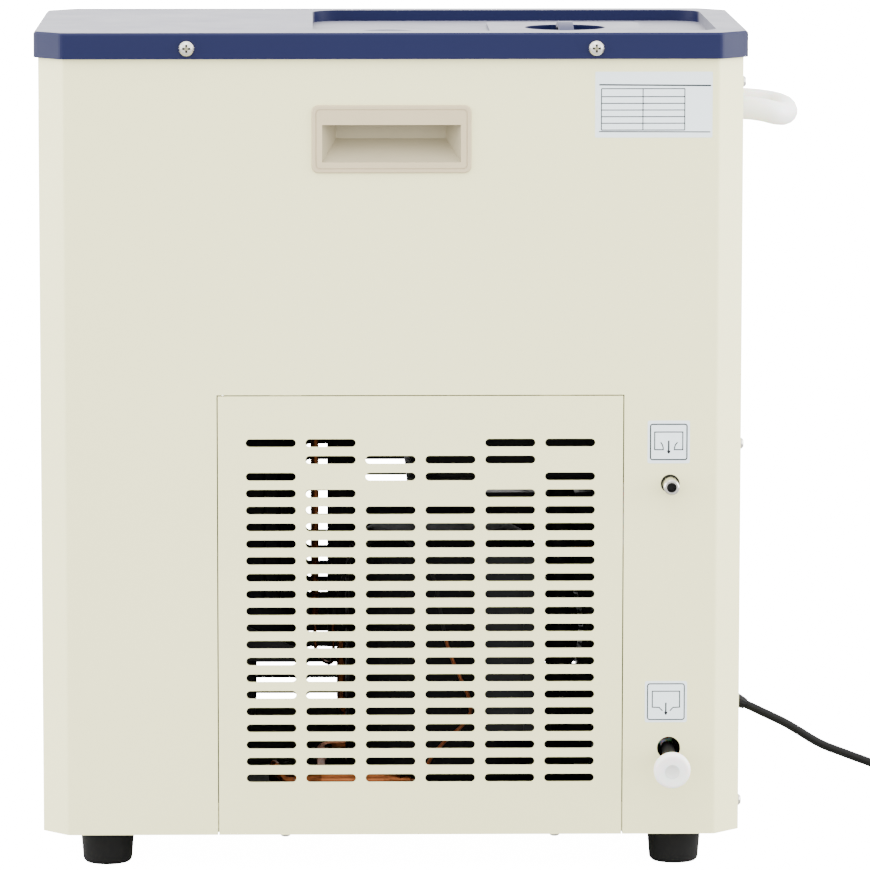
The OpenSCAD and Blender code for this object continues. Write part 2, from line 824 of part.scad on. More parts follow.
module tank_lid() {
    spigot = mouth_w - 2 * mouth_gap;
    color(blue) difference() {
        union() {
            translate([lid_x, 0, well_z]) linear_extrude(lid_t) round_rect(lid_w, lid_w, lid_r);
            translate([lid_x, 0, well_z - spigot_h]) linear_extrude(spigot_h + 0.1) difference() {
                round_rect(spigot, spigot, 7);
                round_rect(spigot - 4, spigot - 4, 5);
            }
            translate([lid_x, 0, hollow_z - hollow_t]) cylinder(d = hollow_d + 2 * hollow_t, h = hollow_depth);
            grip();
        }
        difference() {
            translate([lid_x, 0, hollow_z]) cylinder(d = hollow_d, h = hollow_depth + 0.1);
            grip();
        }
    }
}

module grip() {
    translate([lid_x - grip_w / 2, 0, lid_top + grip_rise - grip_r]) rotate([90, 0, 90]) linear_extrude(grip_w)
        intersection() {
            difference() {
                circle(grip_r, $fn = 360);
                circle(grip_r - grip_t, $fn = 360);
            }
            translate([-grip_span / 2, 0]) square([grip_span, 2 * grip_r]);
        }
}

// Hand cup for the near side

module cup_pocket(grow) {
    front = cup_open_l + 2 * grow;
    deep = cup_open_l - 22 + 2 * grow;
    low = cup_z - cup_open_drop - cup_open_h / 2;
    mouth_y = -half_w - (grow > 0 ? cup_proud - 1 : cup_proud + 1);
    hull() {
        translate([-front / 2, mouth_y, low - grow]) cube([front, 2, cup_open_h + 2 * grow]);
        translate([-deep / 2, -half_w + cup_depth - 2, low + cup_open_h - 12 - grow])
            cube([deep, 2 + (grow > 0 ? cup_t : 0), 17 + 2 * grow]);
    }
}

module hand_cup() {
    difference() {
        union() {
            hull() {
                translate([0, -half_w, cup_z]) facing_near() linear_extrude(cup_proud - 1)
                    round_rect(cup_l, cup_h, cup_r, $fn = 24);
                translate([0, -half_w, cup_z]) facing_near() linear_extrude(cup_proud)
                    round_rect(cup_l - 1.6, cup_h - 1.6, cup_r - 0.8, $fn = 24);
            }
            cup_pocket(cup_t);
        }
        cup_pocket(0);
        translate([0, -half_w - cup_proud + cup_line, cup_z]) facing_near() linear_extrude(1) difference() {
            round_rect(cup_l - 6, cup_h - 6, cup_r - 2, $fn = 24);
            round_rect(cup_l - 7.6, cup_h - 7.6, cup_r - 2.8, $fn = 24);
        }
    }
}

module hand_cup_near() {
    color(beige) hand_cup();
}

module hand_cup_far() {
    color(beige) mirror([0, 1, 0]) hand_cup();
}

// Control panel on the front end

module at_panel(y, z, x) {
    translate([x, y, bezel_z + z]) facing_front() children();
}

module control_bezel() {
    color([0.22, 0.23, 0.25]) difference() {
        union() {
            at_panel(0, 0, -half_l + sheet + bezel_t) linear_extrude(bezel_t)
                round_rect(bezel_h + 2 * bezel_lip, bezel_l + 2 * bezel_lip, 8);
            at_panel(0, 0, bezel_floor_x + bezel_t) linear_extrude(bezel_depth + bezel_t - bezel_front)
                round_rect(bezel_h, bezel_l, 6);
        }
        at_panel(0, 0, bezel_floor_x) linear_extrude(bezel_depth + 1)
            round_rect(bezel_h - 8, bezel_l - 8, 3);
        at_panel(0, window_up, bezel_floor_x + bezel_t + 1) linear_extrude(bezel_t + 2)
            round_rect(window_h + 0.6, window_l + 0.6, 2.3);
        for (y = key_y)
            at_panel(y, key_up_z, bezel_floor_x + bezel_t + 1)
                cylinder(d = key_d + 2 * key_gap, h = bezel_t + 2);
        for (y = switch_y)
            at_panel(y, switch_up, bezel_floor_x + bezel_t + 1) linear_extrude(bezel_t + 2)
                square(switch_body() + [0.4, 0.4], center = true);
    }
}

module display_window() {
    color([0.35, 0.08, 0.08]) {
        at_panel(0, window_up, bezel_floor_x + bezel_t) linear_extrude(bezel_t)
            round_rect(window_h, window_l, 2);
        at_panel(0, window_up, bezel_floor_x + bezel_t + 1.2) linear_extrude(1.2)
            round_rect(window_h + 5, window_l + 5, 2);
    }
}

module controller_board() {
    post = board_x - bezel_floor_x - bezel_t;
    color([0.1, 0.35, 0.2]) {
        at_panel(0, 14, board_x + 1.6) linear_extrude(1.6) square([62, 104], center = true);
        at_panel(0, window_up, board_x) linear_extrude(post - 1.6) square([24, 66], center = true);
        for (y = key_y)
            at_panel(y, key_up_z, board_x) linear_extrude(post - 3.2) square([6, 6], center = true);
        for (y = [-1, 1], z = [-11, 40]) at_panel(y * 47, z, board_x) cylinder(d = 5, h = post);
        at_panel(-34, 24, board_x + 18) linear_extrude(17) square([22, 28], center = true);
        at_panel(10, 8, board_x + 13) linear_extrude(12) square([16, 20], center = true);
        for (y = [30, 42]) at_panel(y, 26, board_x + 20) cylinder(d = 9, h = 19);
    }
}

module key(y) {
    head_x = bezel_floor_x - key_head;
    at_panel(y, key_up_z, bezel_floor_x + bezel_t) rotate_extrude() polygon([
        [0, 0], [key_d / 2, 0], [key_d / 2, bezel_floor_x + bezel_t - head_x - 0.8],
        [key_d / 2 - 0.8, bezel_floor_x + bezel_t - head_x], [0, bezel_floor_x + bezel_t - head_x]
    ]);
    at_panel(y, key_up_z, bezel_floor_x + bezel_t + 0.3 + key_lip_t)
        cylinder(d = key_d + 2 * key_gap + 2 * key_lip, h = key_lip_t);
    at_panel(y, key_up_z, bezel_floor_x + bezel_t + 0.4) cylinder(d = key_d, h = 0.5);
}

module key_set() { color(key_grey) key(key_y[0]); }
module key_shift() { color(key_grey) key(key_y[1]); }
module key_down() { color(key_grey) key(key_y[2]); }
module key_up() { color(key_grey) key(key_y[3]); }

function switch_cavity() = [rocker_l + 2 * switch_gap, rocker_w + 2 * switch_gap];
function switch_body() = switch_cavity() + [2 * switch_wall, 2 * switch_wall];

module switch_housings() {
    color(black) for (y = switch_y) difference() {
        union() {
            at_panel(y, switch_up, bezel_floor_x) linear_extrude(switch_flange)
                round_rect(switch_body()[0] + 3, switch_body()[1] + 3, 1.5);
            at_panel(y, switch_up, bezel_floor_x + switch_depth) linear_extrude(switch_depth + 0.5)
                square(switch_body(), center = true);
            for (z = [-5, 0, 5])
                at_panel(y, switch_up + z, bezel_floor_x + switch_depth + 8)
                    linear_extrude(8.5) square([0.8, 6.3], center = true);
        }
        at_panel(y, switch_up, rocker_pivot + rocker_r + switch_gap)
            linear_extrude(rocker_r + switch_gap + switch_flange + 3) square(switch_cavity(), center = true);
        translate([rocker_pivot, y, bezel_z + switch_up]) rotate([90, 0, 0])
            cylinder(d = pivot_d + 0.1, h = switch_body()[1] + 1, center = true);
    }
}

module rocker(y) {
    translate([rocker_pivot, y, bezel_z + switch_up]) rotate([0, rocker_tilt, 0]) {
        rotate([90, 0, 0]) difference() {
            cylinder(r = rocker_r, h = rocker_w, center = true, $fn = 64);
            translate([0, 0, -rocker_w]) linear_extrude(2 * rocker_w) polygon([
                [-rocker_crown, 0], [-rocker_crown - 9 * tan(rocker_tilt), 9], [-20, 9],
                [-20, -9], [-rocker_crown - 9 * tan(rocker_tilt), -9]
            ]);
        }
        rotate([90, 0, 0])
            cylinder(d = pivot_d, h = rocker_w + 2 * switch_gap + 2 * switch_wall - 0.8, center = true);
    }
}

module power_rocker() { color([0.75, 0.1, 0.08]) rocker(switch_y[0]); }
module cooling_rocker() { color([0.1, 0.4, 0.15]) rocker(switch_y[1]); }
module pump_rocker() { color([0.1, 0.4, 0.15]) rocker(switch_y[2]); }

// Overflow and drain

module overflow_nozzle() {
    block = overflow_d + 2;
    color([0.8, 0.78, 0.72]) difference() {
        union() {
            translate([outlet_x, gap_y, overflow_z]) facing_near()
                cylinder(d = overflow_inner_d, h = half_w + gap_y + 0.31);
            translate([outlet_x, -half_w - 0.3, overflow_z]) facing_near()
                cylinder(d = overflow_d, h = overflow_tip - 1.3);
            translate([outlet_x, -half_w - overflow_tip + 1.01, overflow_z]) facing_near()
                cylinder(d1 = overflow_d, d2 = overflow_d - 2, h = 1.01);
            translate([outlet_x, -inner_y + 3.5, overflow_z]) facing_near()
                cylinder(d = overflow_flange_d, h = 3.2);
            translate([outlet_x, gap_y, overflow_z - block / 2]) cylinder(d = block, h = block);
            translate([outlet_x, gap_y, overflow_z]) cylinder(d = overflow_barb, h = 22);
        }
        translate([outlet_x, -half_w - overflow_tip - 1, overflow_z]) facing_far()
            cylinder(d = overflow_bore, h = half_w + overflow_tip + 1 + gap_y);
        translate([outlet_x, gap_y, overflow_z]) cylinder(d = overflow_bore - 0.6, h = 24);
    }
}

module overflow_hose() {
    color([0.9, 0.9, 0.88]) translate([outlet_x, gap_y, overflow_z + 7]) difference() {
        cylinder(d = overflow_hose_d, h = overflow_up_z - overflow_z - 14);
        translate([0, 0, -1]) cylinder(d = overflow_barb + 2 * bore_gap, h = overflow_up_z - overflow_z);
    }
}

module at_drain() {
    translate([outlet_x, -half_w, drain_axis_z]) rotate([drain_droop, 0, 0]) facing_near() children();
}

function drain_point(out) =
    [outlet_x, -half_w - out * cos(drain_droop), drain_axis_z - out * sin(drain_droop)];

module drain_tube() {
    l = drain_tube_in + plug_face - plug_t - 0.4;
    color(milky) at_drain() translate([0, 0, -drain_tube_in]) difference() {
        cylinder(d = drain_tube_d, h = l);
        translate([0, 0, -1]) cylinder(d = plug_stem_d + 2 * plug_gap, h = l + 2);
    }
}

module drain_hose() {
    color(milky) sweep(rounded([
        [drain_out_x, drain_out_y, tank_deck_z - 1], [drain_out_x, drain_out_y, 240],
        [drain_out_x + 16, drain_out_y - 14, 190], [outlet_x, -88, 140], drain_point(-42),
        drain_point(-drain_tube_in - 0.1)
    ], 18, 4), drain_tube_d, 10);
}

module drain_plug() {
    r = plug_head_d / 2;
    color([0.96, 0.96, 0.95]) at_drain() translate([0, 0, plug_face - plug_t]) rotate_extrude()
        polygon(concat(
            [[0, -plug_stem_l], [plug_stem_d / 2 - 0.6, -plug_stem_l], [plug_stem_d / 2, -plug_stem_l + 1.2],
             [plug_stem_d / 2, 0], [r - 3, 0]],
            [for (a = [-75 : 15 : 75]) [r - 2.6 + 2.6 * cos(a), plug_t / 2 + (plug_t / 2 - 0.1) * sin(a)]],
            [[r - 3, plug_t], [5, plug_t - 0.2], [3.6, plug_t - 1], [0, plug_t - 1.3]]
        ));
}

// Ports and hoses

module hose_ports() {
    color(brass) {
        difference() {
            for (y = [-port_y, port_y]) port_outside(y);
            for (y = [-port_y, port_y]) translate([half_l, y, port_z]) facing_back()
                translate([0, 0, -port_inner])
                    cylinder(d = port_bore, h = port_inner + port_flange + port_barb_l + 1);
            translate([elbow_x, -port_y, port_z]) elbow_bore();
        }
    }
}

module port_outside(y) {
    translate([half_l, y, port_z]) facing_back() {
        cylinder(d = port_hex, h = port_flange, $fn = 6);
        cylinder(d = port_barb_d - 2, h = port_flange + port_barb_l);
        for (k = [0 : 2])
            translate([0, 0, port_flange + 4 + 6.5 * k])
                cylinder(d1 = port_barb_d, d2 = port_barb_d - 2, h = 5);
        translate([0, 0, y < 0 ? elbow_x - half_l : -port_inner]) cylinder(d = port_thread_d,
            h = y < 0 ? half_l - elbow_x + 0.1 : port_inner + 0.1);
    }
    if (y < 0) translate([elbow_x, y, port_z]) {
        sphere(d = port_thread_d);
        facing_near() cylinder(d = port_barb_d - 1, h = 34);
    }
}

module elbow_bore() {
    sphere(d = port_bore);
    facing_near() cylinder(d = port_bore, h = 36);
}

module port_nuts() {
    color(brass) for (y = [-port_y, port_y])
        translate([inner_x - 5, y, port_z]) facing_back() difference() {
            cylinder(d = port_hex, h = 5, $fn = 6);
            translate([0, 0, -1]) cylinder(d = port_thread_d + 2 * bore_gap, h = 7);
        }
}

module loop_hose() {
    start = half_l + port_flange + 0.3;
    color([0.93, 0.93, 0.92]) sweep(concat(
        [[start, -port_y, port_z]],
        [for (a = [-90 : 10 : 90])
            [start + 4 + loop_reach * cos(a), port_y * sin(a), port_z - loop_sag * cos(a)]],
        [[start, port_y, port_z]]
    ), hose_d, 12);
}

// Tank

module tank() {
    color([0.78, 0.79, 0.8]) difference() {
        union() {
            translate([tank_x, 0, tank_floor - tank_t]) linear_extrude(tank_depth + tank_t)
                round_rect(tank_l + 2 * tank_t, tank_w + 2 * tank_t, 10 + tank_t);
            translate([tank_x, 0, tank_top - tank_t]) linear_extrude(tank_t)
                round_rect(tank_l + 2 * tank_flange, tank_w + 2 * tank_flange, 14);
            tank_stubs(stub_d, 0);
        }
        translate([tank_x, 0, tank_floor]) linear_extrude(tank_depth + 1) round_rect(tank_l, tank_w, 10);
        tank_stubs(stub_bore, 2);
        translate([tank_x0 - 3, probe_y, probe_z]) facing_back() cylinder(d = probe_d + 0.2, h = 6);
        for (z = [evap_z, evap_z + evap_turns * evap_pitch])
            translate([tank_x0 - 3, evap_out_y, z]) facing_back()
                cylinder(d = evap_tube + 2 * evap_gap_wall, h = 6);
    }
}

// Welded stubs: feed to the pump, return, overflow and drain
module tank_stubs(d, extra) {
    translate([tank_x0 - tank_t - foam_t - 22, feed_y, feed_z]) translate([-extra, 0, 0]) facing_back()
        cylinder(d = d, h = foam_t + 22 + tank_t + 2 * extra);
    translate([tank_x1, port_y, port_z]) translate([-extra, 0, 0]) facing_back()
        cylinder(d = d, h = half_l - port_inner - 0.3 - tank_x1 + 2 * extra);
    translate([outlet_x, -tank_w / 2 + (d > stub_bore ? 0 : 1), overflow_up_z + 6]) facing_near()
        cylinder(d = d - 3, h = -gap_y - tank_w / 2 + (d > stub_bore ? 0 : 1));
    translate([outlet_x, gap_y, overflow_up_z + 6]) sphere(d = d - 3);
    translate([outlet_x, gap_y, overflow_up_z - 16 - extra]) cylinder(d = d - 3, h = 22 + extra);
    translate([drain_out_x, drain_out_y, tank_deck_z - 1 - extra])
        cylinder(d = d - 3, h = tank_floor - tank_deck_z + 1 + 2 * extra);
}

module foam_outline() {
    l = foam_l / 2;
    w = foam_w / 2;
    c = foam_cut;
    polygon([
        [l, w - c], [l - c, w], [c - l, w], [-l, w - c],
        [-l, c - w], [c - l, -w], [l - c, -w], [l, c - w]
    ]);
}

module tank_foam() {
    color([0.13, 0.13, 0.13]) difference() {
        translate([tank_x, 0, foam_z]) linear_extrude(tank_top - tank_t - foam_gap - foam_z) foam_outline();
        translate([tank_x, 0, tank_floor - tank_t - foam_gap]) linear_extrude(tank_depth + 10)
            round_rect(tank_l + 2 * (tank_t + foam_gap), tank_w + 2 * (tank_t + foam_gap), 10 + tank_t + foam_gap);
        translate([foam_x0 - 1, feed_y, feed_z]) facing_back() cylinder(d = stub_d + 0.6, h = foam_t + 4);
        translate([foam_x0 - 1, probe_y, probe_z]) facing_back() cylinder(d = probe_d + 0.6, h = foam_t + 4);
        for (z = [evap_z, evap_z + evap_turns * evap_pitch])
            translate([foam_x0 - 1, evap_out_y, z]) facing_back()
                cylinder(d = evap_tube + 0.8, h = foam_t + 4);
        translate([foam_x1 - foam_t - 3, port_y, port_z]) facing_back()
            cylinder(d = stub_d + 0.6, h = foam_t + 5);
        translate([outlet_x, -foam_w / 2 - 1, overflow_up_z + 6]) facing_far()
            cylinder(d = stub_d - 2.4, h = foam_t + 4);
        translate([drain_out_x, drain_out_y, foam_z - 1]) cylinder(d = stub_d - 2.4, h = foam_t + 4);
    }
}

module tank_deck() {
    tab_l = foam_x1 + 1 - deck_tab_x;
    color(black) difference() {
        union() {
            translate([foam_x0 - 4, -deck_plate_y, tank_deck_z])
                cube([foam_l + 5, 2 * deck_plate_y, deck_plate_t]);
            both_sides() {
                translate([deck_tab_x, -inner_y + 0.3, tank_deck_z])
                    cube([tab_l, inner_y - deck_plate_y + 1, deck_plate_t]);
                translate([deck_tab_x, -inner_y + 0.3, tank_deck_z]) cube([tab_l, sheet, deck_flange]);
            }
        }
        translate([drain_out_x, drain_out_y, tank_deck_z - 1]) cylinder(d = stub_d, h = 5);
        translate([outlet_x, -half_w, overflow_z]) facing_far() cylinder(d = overflow_flange_d + 2, h = 24);
    }
}

module evaporator_coil() {
    corner = [[-1, 1], [1, 1], [1, -1], [-1, -1]];
    wall_x = foam_x0 - 14;
    color(copper) sweep(rounded(concat(
        [[wall_x, evap_out_y, evap_z], [tank_x - evap_hx, evap_out_y, evap_z]],
        [for (k = [0 : 4 * evap_turns - 1])
            [tank_x + evap_hx * corner[k % 4][0], evap_hy * corner[k % 4][1], evap_z + evap_pitch * k / 4]],
        [[tank_x - evap_hx, evap_out_y, evap_z + evap_turns * evap_pitch],
         [wall_x, evap_out_y, evap_z + evap_turns * evap_pitch]]
    ), evap_bend, 3), evap_tube, 8);
}

module temperature_probe() {
    color([0.75, 0.76, 0.78]) {
        translate([foam_x0 - 12, probe_y, probe_z]) facing_back()
            cylinder(d = probe_d, h = tank_x0 - foam_x0 + 12 + probe_l);
        translate([foam_x0 - 10, probe_y, probe_z]) facing_back() cylinder(d = 14, h = 9.7, $fn = 6);
    }
}

// Pump

module pump_housing() {
    color([0.14, 0.15, 0.16]) {
        difference() {
            union() {
                translate([pump_x, 0, chamber_z]) cylinder(d = volute_d, h = motor_z - chamber_z + 0.1);
                translate([pump_x, 0, motor_z]) motor_body();
                translate([outlet_x_pump, 0, outlet_z]) facing_far() cylinder(d = stub_d, h = outlet_y_pump);
            }
            translate([pump_x, 0, chamber_z - 1]) cylinder(d = chamber_d, h = chamber_h + 1);
            translate([pump_x, 0, chamber_z]) cylinder(d = shaft_d + 2 * shaft_gap, h = chamber_h + 30);
            translate([outlet_x_pump, 8, outlet_z]) facing_far() cylinder(d = stub_bore - 1, h = outlet_y_pump);
            for (a = [45 : 90 : 315]) translate([pump_x, 0, chamber_z - 1]) rotate(a)
                translate([bolt_r, 0, 0]) cylinder(d = 4, h = 12);
        }
    }
}

module motor_body() {
    fins = 20;
    difference() {
        cylinder(d = pump_d, h = pump_h);
        for (a = [0 : 360 / fins : 359]) rotate(a) translate([pump_d / 2 - 4, -2, 14])
            cube([8, 4, pump_h - 46]);
    }
}

module pump_cover() {
    color([0.2, 0.2, 0.21]) difference() {
        union() {
            translate([pump_x, 0, chamber_z - pump_cover_t]) cylinder(d = volute_d, h = pump_cover_t);
            translate([pump_x, 0, inlet_z]) cylinder(d = stub_d, h = chamber_z - inlet_z - 0.1);
        }
        translate([pump_x, 0, inlet_z - 1]) cylinder(d = stub_bore, h = chamber_z - inlet_z + 2);
        for (a = [45 : 90 : 315]) translate([pump_x, 0, chamber_z - pump_cover_t - 1]) rotate(a)
            translate([bolt_r, 0, 0]) cylinder(d = 4.4, h = 12);
    }
}

module pump_rotor() {
    vanes = 6;
    vane_t = 2;
    disc_t = 3;
    z = chamber_z + rotor_gap;
    color([0.3, 0.3, 0.32]) translate([pump_x, 0, z]) {
        translate([0, 0, rotor_h - disc_t]) cylinder(d = rotor_d, h = disc_t);
        cylinder(d = 14, h = rotor_h);
        for (a = [0 : 360 / vanes : 359]) rotate(a) intersection() {
            translate([0, 18, 0]) difference() {
                cylinder(r = 19 + vane_t, h = rotor_h - disc_t + 0.1);
                translate([0, 0, -1]) cylinder(r = 19, h = rotor_h);
            }
            translate([3, 0, 0]) cube([rotor_d / 2 - 6, 22, rotor_h]);
        }
        translate([0, 0, rotor_h - 0.1]) cylinder(d = shaft_d, h = 26);
    }
}

module pump_shelf() {
    reach = pump_x + pump_d / 2 - partition_x - partition_t;
    half = volute_d / 2 + 6;
    color(black) difference() {
        union() {
            translate([partition_x + partition_t, -half, shelf_z]) cube([reach, 2 * half, shelf_t]);
            translate([partition_x + partition_t, -half, shelf_z]) cube([shelf_t, 2 * half, 60]);
            for (y = [-half, half - shelf_t]) upright(y, shelf_t) polygon([
                [partition_x + partition_t, shelf_z], [partition_x + partition_t + reach, shelf_z],
                [partition_x + partition_t + reach, shelf_z + 8], [partition_x + partition_t, shelf_z + 60]
            ]);
        }
        translate([pump_x, 0, shelf_z - 1]) cylinder(d = stub_d + 8, h = shelf_t + 2);
        translate([outlet_x_pump, half - 6, outlet_z]) facing_far() cylinder(d = stub_d + 6, h = 12);
    }
}

module partition() {
    flange = 14;
    y1 = half_w - tray_inset - base_sheet - 0.4;
    color([0.7, 0.71, 0.72]) difference() {
        union() {
            translate([partition_x, -y1, floor_z]) cube([partition_t, 2 * y1, port_z - floor_z]);
            translate([partition_x - flange, -y1, floor_z]) cube([flange + partition_t, 2 * y1, partition_t]);
            translate([partition_x - flange, -y1, port_z - partition_t])
                cube([flange + partition_t, 2 * y1, partition_t]);
        }
        translate([partition_x - 1, 0, bezel_z]) facing_back() cylinder(d = 30, h = 4);
        translate([partition_x - 1, -70, floor_z + 40]) facing_back() cylinder(d = 24, h = 4);
    }
}

module feed_hose() {
    color(hose_grey) sweep(rounded([
        [foam_x0 - 6, feed_y, feed_z], [-60, feed_y, feed_z + 2], [pump_x - 17, -74, feed_z - 6],
        [pump_x - 17, -74, 130], [pump_x - 14, -62, 98], [pump_x, -8, 92], [pump_x, 0, inlet_z + 14]
    ], 26, 5), hose_d, 12);
}

module supply_hose() {
    run_y = half_w - sheet - hose_d / 2 - 4.5;
    run_z = 430;
    color(hose_grey) sweep(rounded([
        [outlet_x_pump, outlet_y_pump - 16, outlet_z], [outlet_x_pump, run_y, outlet_z + 4],
        [outlet_x_pump, run_y, run_z], [foam_x1 - 18, run_y, run_z], [elbow_x, foam_w / 2 - 12, run_z + 12],
        [elbow_x, 60, run_z + 20], [elbow_x, -108, port_z - 40], [elbow_x, -116, port_z],
        [elbow_x, -port_y - 10, port_z]
    ], 24, 5), hose_d, 12);
}

// Refrigeration

module can_profile(grow) {
    r = can_d / 2 + grow;
    dome = 34;
    hull() for (x = [-1, 1]) translate([x * can_oval / 2, 0, 0]) rotate_extrude($fn = 40) polygon(concat(
        [[0, 0]],
        [for (a = [-90 : 18 : 0]) [r - 16 + 16 * cos(a), 16 + 16 * sin(a)]],
        [for (a = [0 : 15 : 90]) [(r - 26) + 26 * cos(a), can_h - dome + dome * sin(a)]],
        [[0, can_h]]
    ));
}

module compressor() {
    seam_z = can_h * 0.62;
    color([0.12, 0.12, 0.13]) {
        difference() {
            union() {
                translate([can_x, can_y, can_z]) can_profile(0);
                translate([can_x, can_y, can_z + seam_z]) hull() for (x = [-1, 1])
                    translate([x * can_oval / 2, 0, 0]) cylinder(d = can_d + 7, h = 5, $fn = 32);
            }
            discharge_socket() cylinder(d = line_d + 2 * bore_gap, h = 30);
        }
        translate([can_x, can_y, can_z - 3.9]) linear_extrude(4) difference() {
            round_rect(2 * ear_x + 24, 2 * ear_y + 24, 10);
            for (x = [-1, 1], y = [-1, 1]) translate([x * ear_x, y * ear_y]) circle(d = 9);
            for (x = [-1, 1]) translate([x * (ear_x + 6), 0]) circle(30);
        }
    }
}

// Socket for the discharge line in the far side of the can
module discharge_socket() {
    translate([can_x + 20, can_y + can_d / 2 - 12, discharge_z]) facing_far() children();
}

module compressor_mounts() {
    color(black) for (x = [-1, 1], y = [-1, 1])
        translate([can_x + x * ear_x, can_y + y * ear_y, floor_z]) difference() {
            union() {
                cylinder(d = mount_d, h = mount_h);
                cylinder(d = 8.6, h = mount_h + 6);
            }
            translate([0, 0, -1]) cylinder(d = 5, h = mount_h + 9);
        }
}

module terminal_cover() {
    w = 39;
    h = 138;
    d = 34;
    x0 = can_x + 31;
    y0 = can_y - can_d / 2 - 10;
    z0 = can_z + 55.5;
    color([0.32, 0.33, 0.35]) difference() {
        translate([x0, y0, z0]) cube([w, d, h]);
        translate([x0 + 2, y0 + 2, z0 + 2]) cube([w - 4, d, h - 4]);
        translate([can_x, can_y, can_z]) minkowski_free_can();
        translate([x0 + 27, y0 - 1, z0 - 1]) cube([4, 2.3, h + 2]);
    }
}

// Room for the can behind the terminal cover
module minkowski_free_can() {
    for (x = [-1, 1]) translate([x * can_oval / 2, 0, 0]) cylinder(d = can_d + 8, h = can_h);
}

module condenser_core() {
    rows = 7;
    cols = 2;
    pitch_z = (cond_h - 16) / (rows - 0.5);
    z0 = cond_z + cond_foot;
    tube_y = [cond_y0 + cond_w * 0.27, cond_y0 + cond_w * 0.73];
    fins = floor((cond_l - 8) / fin_pitch);
    color([0.62, 0.63, 0.65]) {
        for (i = [0 : fins])
            translate([cond_x - fins * fin_pitch / 2 + i * fin_pitch - fin_t / 2, cond_y0, z0])
                cube([fin_t, cond_w, cond_h]);
        for (x = [cond_x0, cond_x1 - sheet])
            translate([x, cond_y0, cond_z]) cube([sheet, cond_w, cond_foot + cond_h]);
        for (x = [cond_x0, cond_x1 - 12])
            translate([x, cond_y0, cond_z]) cube([12, cond_w, sheet]);
    }
    color(copper) for (c = [0 : cols - 1], k = [0 : rows - 1])
        translate([cond_x0 - 4, tube_y[c], z0 + 8 + (k + c * 0.5) * pitch_z]) facing_back()
            cylinder(d = cond_tube, h = cond_l + 8);
}

module fan_leg_places() {
    for (a = [45 : 90 : 315]) translate([cond_x, 0, fan_z]) rotate([0, a, 0]) children();
}

module fan_shroud() {
    r = fan_d / 2 + fan_tip_gap;
    leg_r = r + 3;
    color(black) {
        difference() {
            translate([cond_x0, shroud_y0, cond_z + cond_foot]) cube([cond_l, shroud_y1 - shroud_y0, cond_h]);
            translate([cond_x0 + shroud_t, shroud_y0 + shroud_t, cond_z + cond_foot + shroud_t])
                cube([cond_l - 2 * shroud_t, shroud_y1, cond_h - 2 * shroud_t]);
            translate([cond_x, shroud_y0 - 1, fan_z]) facing_far() cylinder(r = r, h = shroud_t + 2);
        }
        difference() {
            translate([cond_x, clamp_y, fan_z]) facing_far()
                cylinder(d = fan_motor_d + 2 * clamp_t, h = clamp_w);
            translate([cond_x, clamp_y - 1, fan_z]) facing_far() cylinder(d = fan_motor_d, h = clamp_w + 2);
        }
        fan_leg_places() {
            translate([fan_motor_d / 2 + clamp_t / 2, clamp_y, -leg_w / 2])
                cube([leg_r + leg_w - fan_motor_d / 2 - clamp_t / 2, leg_w, leg_w]);
            translate([leg_r, clamp_y, -leg_w / 2]) cube([leg_w, shroud_y0 - clamp_y + 0.1, leg_w]);
        }
    }
}

module fan_motor() {
    color([0.5, 0.51, 0.53]) difference() {
        translate([cond_x, motor_y0, fan_z]) facing_far() {
            cylinder(d = fan_motor_d - 0.2, h = motor_y1 - motor_y0);
            translate([0, 0, -5]) cylinder(d = 26, h = 6);
        }
        translate([cond_x, motor_y1 - shaft_len, fan_z]) facing_far()
            cylinder(d = shaft_d + 2 * shaft_gap, h = shaft_len + 1);
    }
}

module blade() {
    root = hub_d / 2 - 2;
    tip = fan_d / 2;
    span = 7;
    chord = 6;
    t = 1.6;
    // A blade is a curved sheet whose pitch falls from root to tip
    top = [for (i = [0 : span], j = [0 : chord]) blade_point(mix(root, tip, i / span), j / chord, t)];
    under = [for (i = [0 : span], j = [0 : chord]) blade_point(mix(root, tip, i / span), j / chord, 0)];
    n = (span + 1) * (chord + 1);
    quads = [for (i = [0 : span - 1], j = [0 : chord - 1]) let (a = i * (chord + 1) + j)
        [a, a + 1, a + chord + 2, a + chord + 1]];
    rim = concat(
        [for (j = [0 : chord]) j],
        [for (i = [1 : span]) i * (chord + 1) + chord],
        [for (j = [chord - 1 : -1 : 0]) span * (chord + 1) + j],
        [for (i = [span - 1 : -1 : 1]) i * (chord + 1)]
    );
    polyhedron(concat(top, under), concat(
        [for (q = quads) each [[q[0], q[1], q[2]], [q[0], q[2], q[3]]]],
        [for (q = quads) each [[n + q[0], n + q[2], n + q[1]], [n + q[0], n + q[3], n + q[2]]]],
        [for (i = [0 : len(rim) - 1]) let (a = rim[i], b = rim[(i + 1) % len(rim)])
            each [[a, n + b, b], [a, n + a, n + b]]]
    ), convexity = 6);
}

function blade_point(r, s, lift) =
    let (sweep_deg = 54 - 6 * (r - hub_d / 2) / fan_d, a = (s - 0.5) * sweep_deg)
    let (camber = 2.4 * sin(180 * s))
    [r * cos(a), r * sin(a), (s - 0.5) * 17 + camber + lift];

module fan_rotor() {
    color([0.12, 0.12, 0.13]) translate([cond_x, hub_y0, fan_z]) facing_far() {
        difference() {
            cylinder(d = hub_d, h = hub_y1 - hub_y0);
            translate([0, 0, 16]) cylinder(d = hub_d - 8, h = 20);
        }
        translate([0, 0, -shaft_len + 2]) cylinder(d = shaft_d, h = shaft_len + 6);
        for (k = [0 : fan_blades - 1]) rotate(360 * k / fan_blades) translate([0, 0, 11]) blade();
    }
}

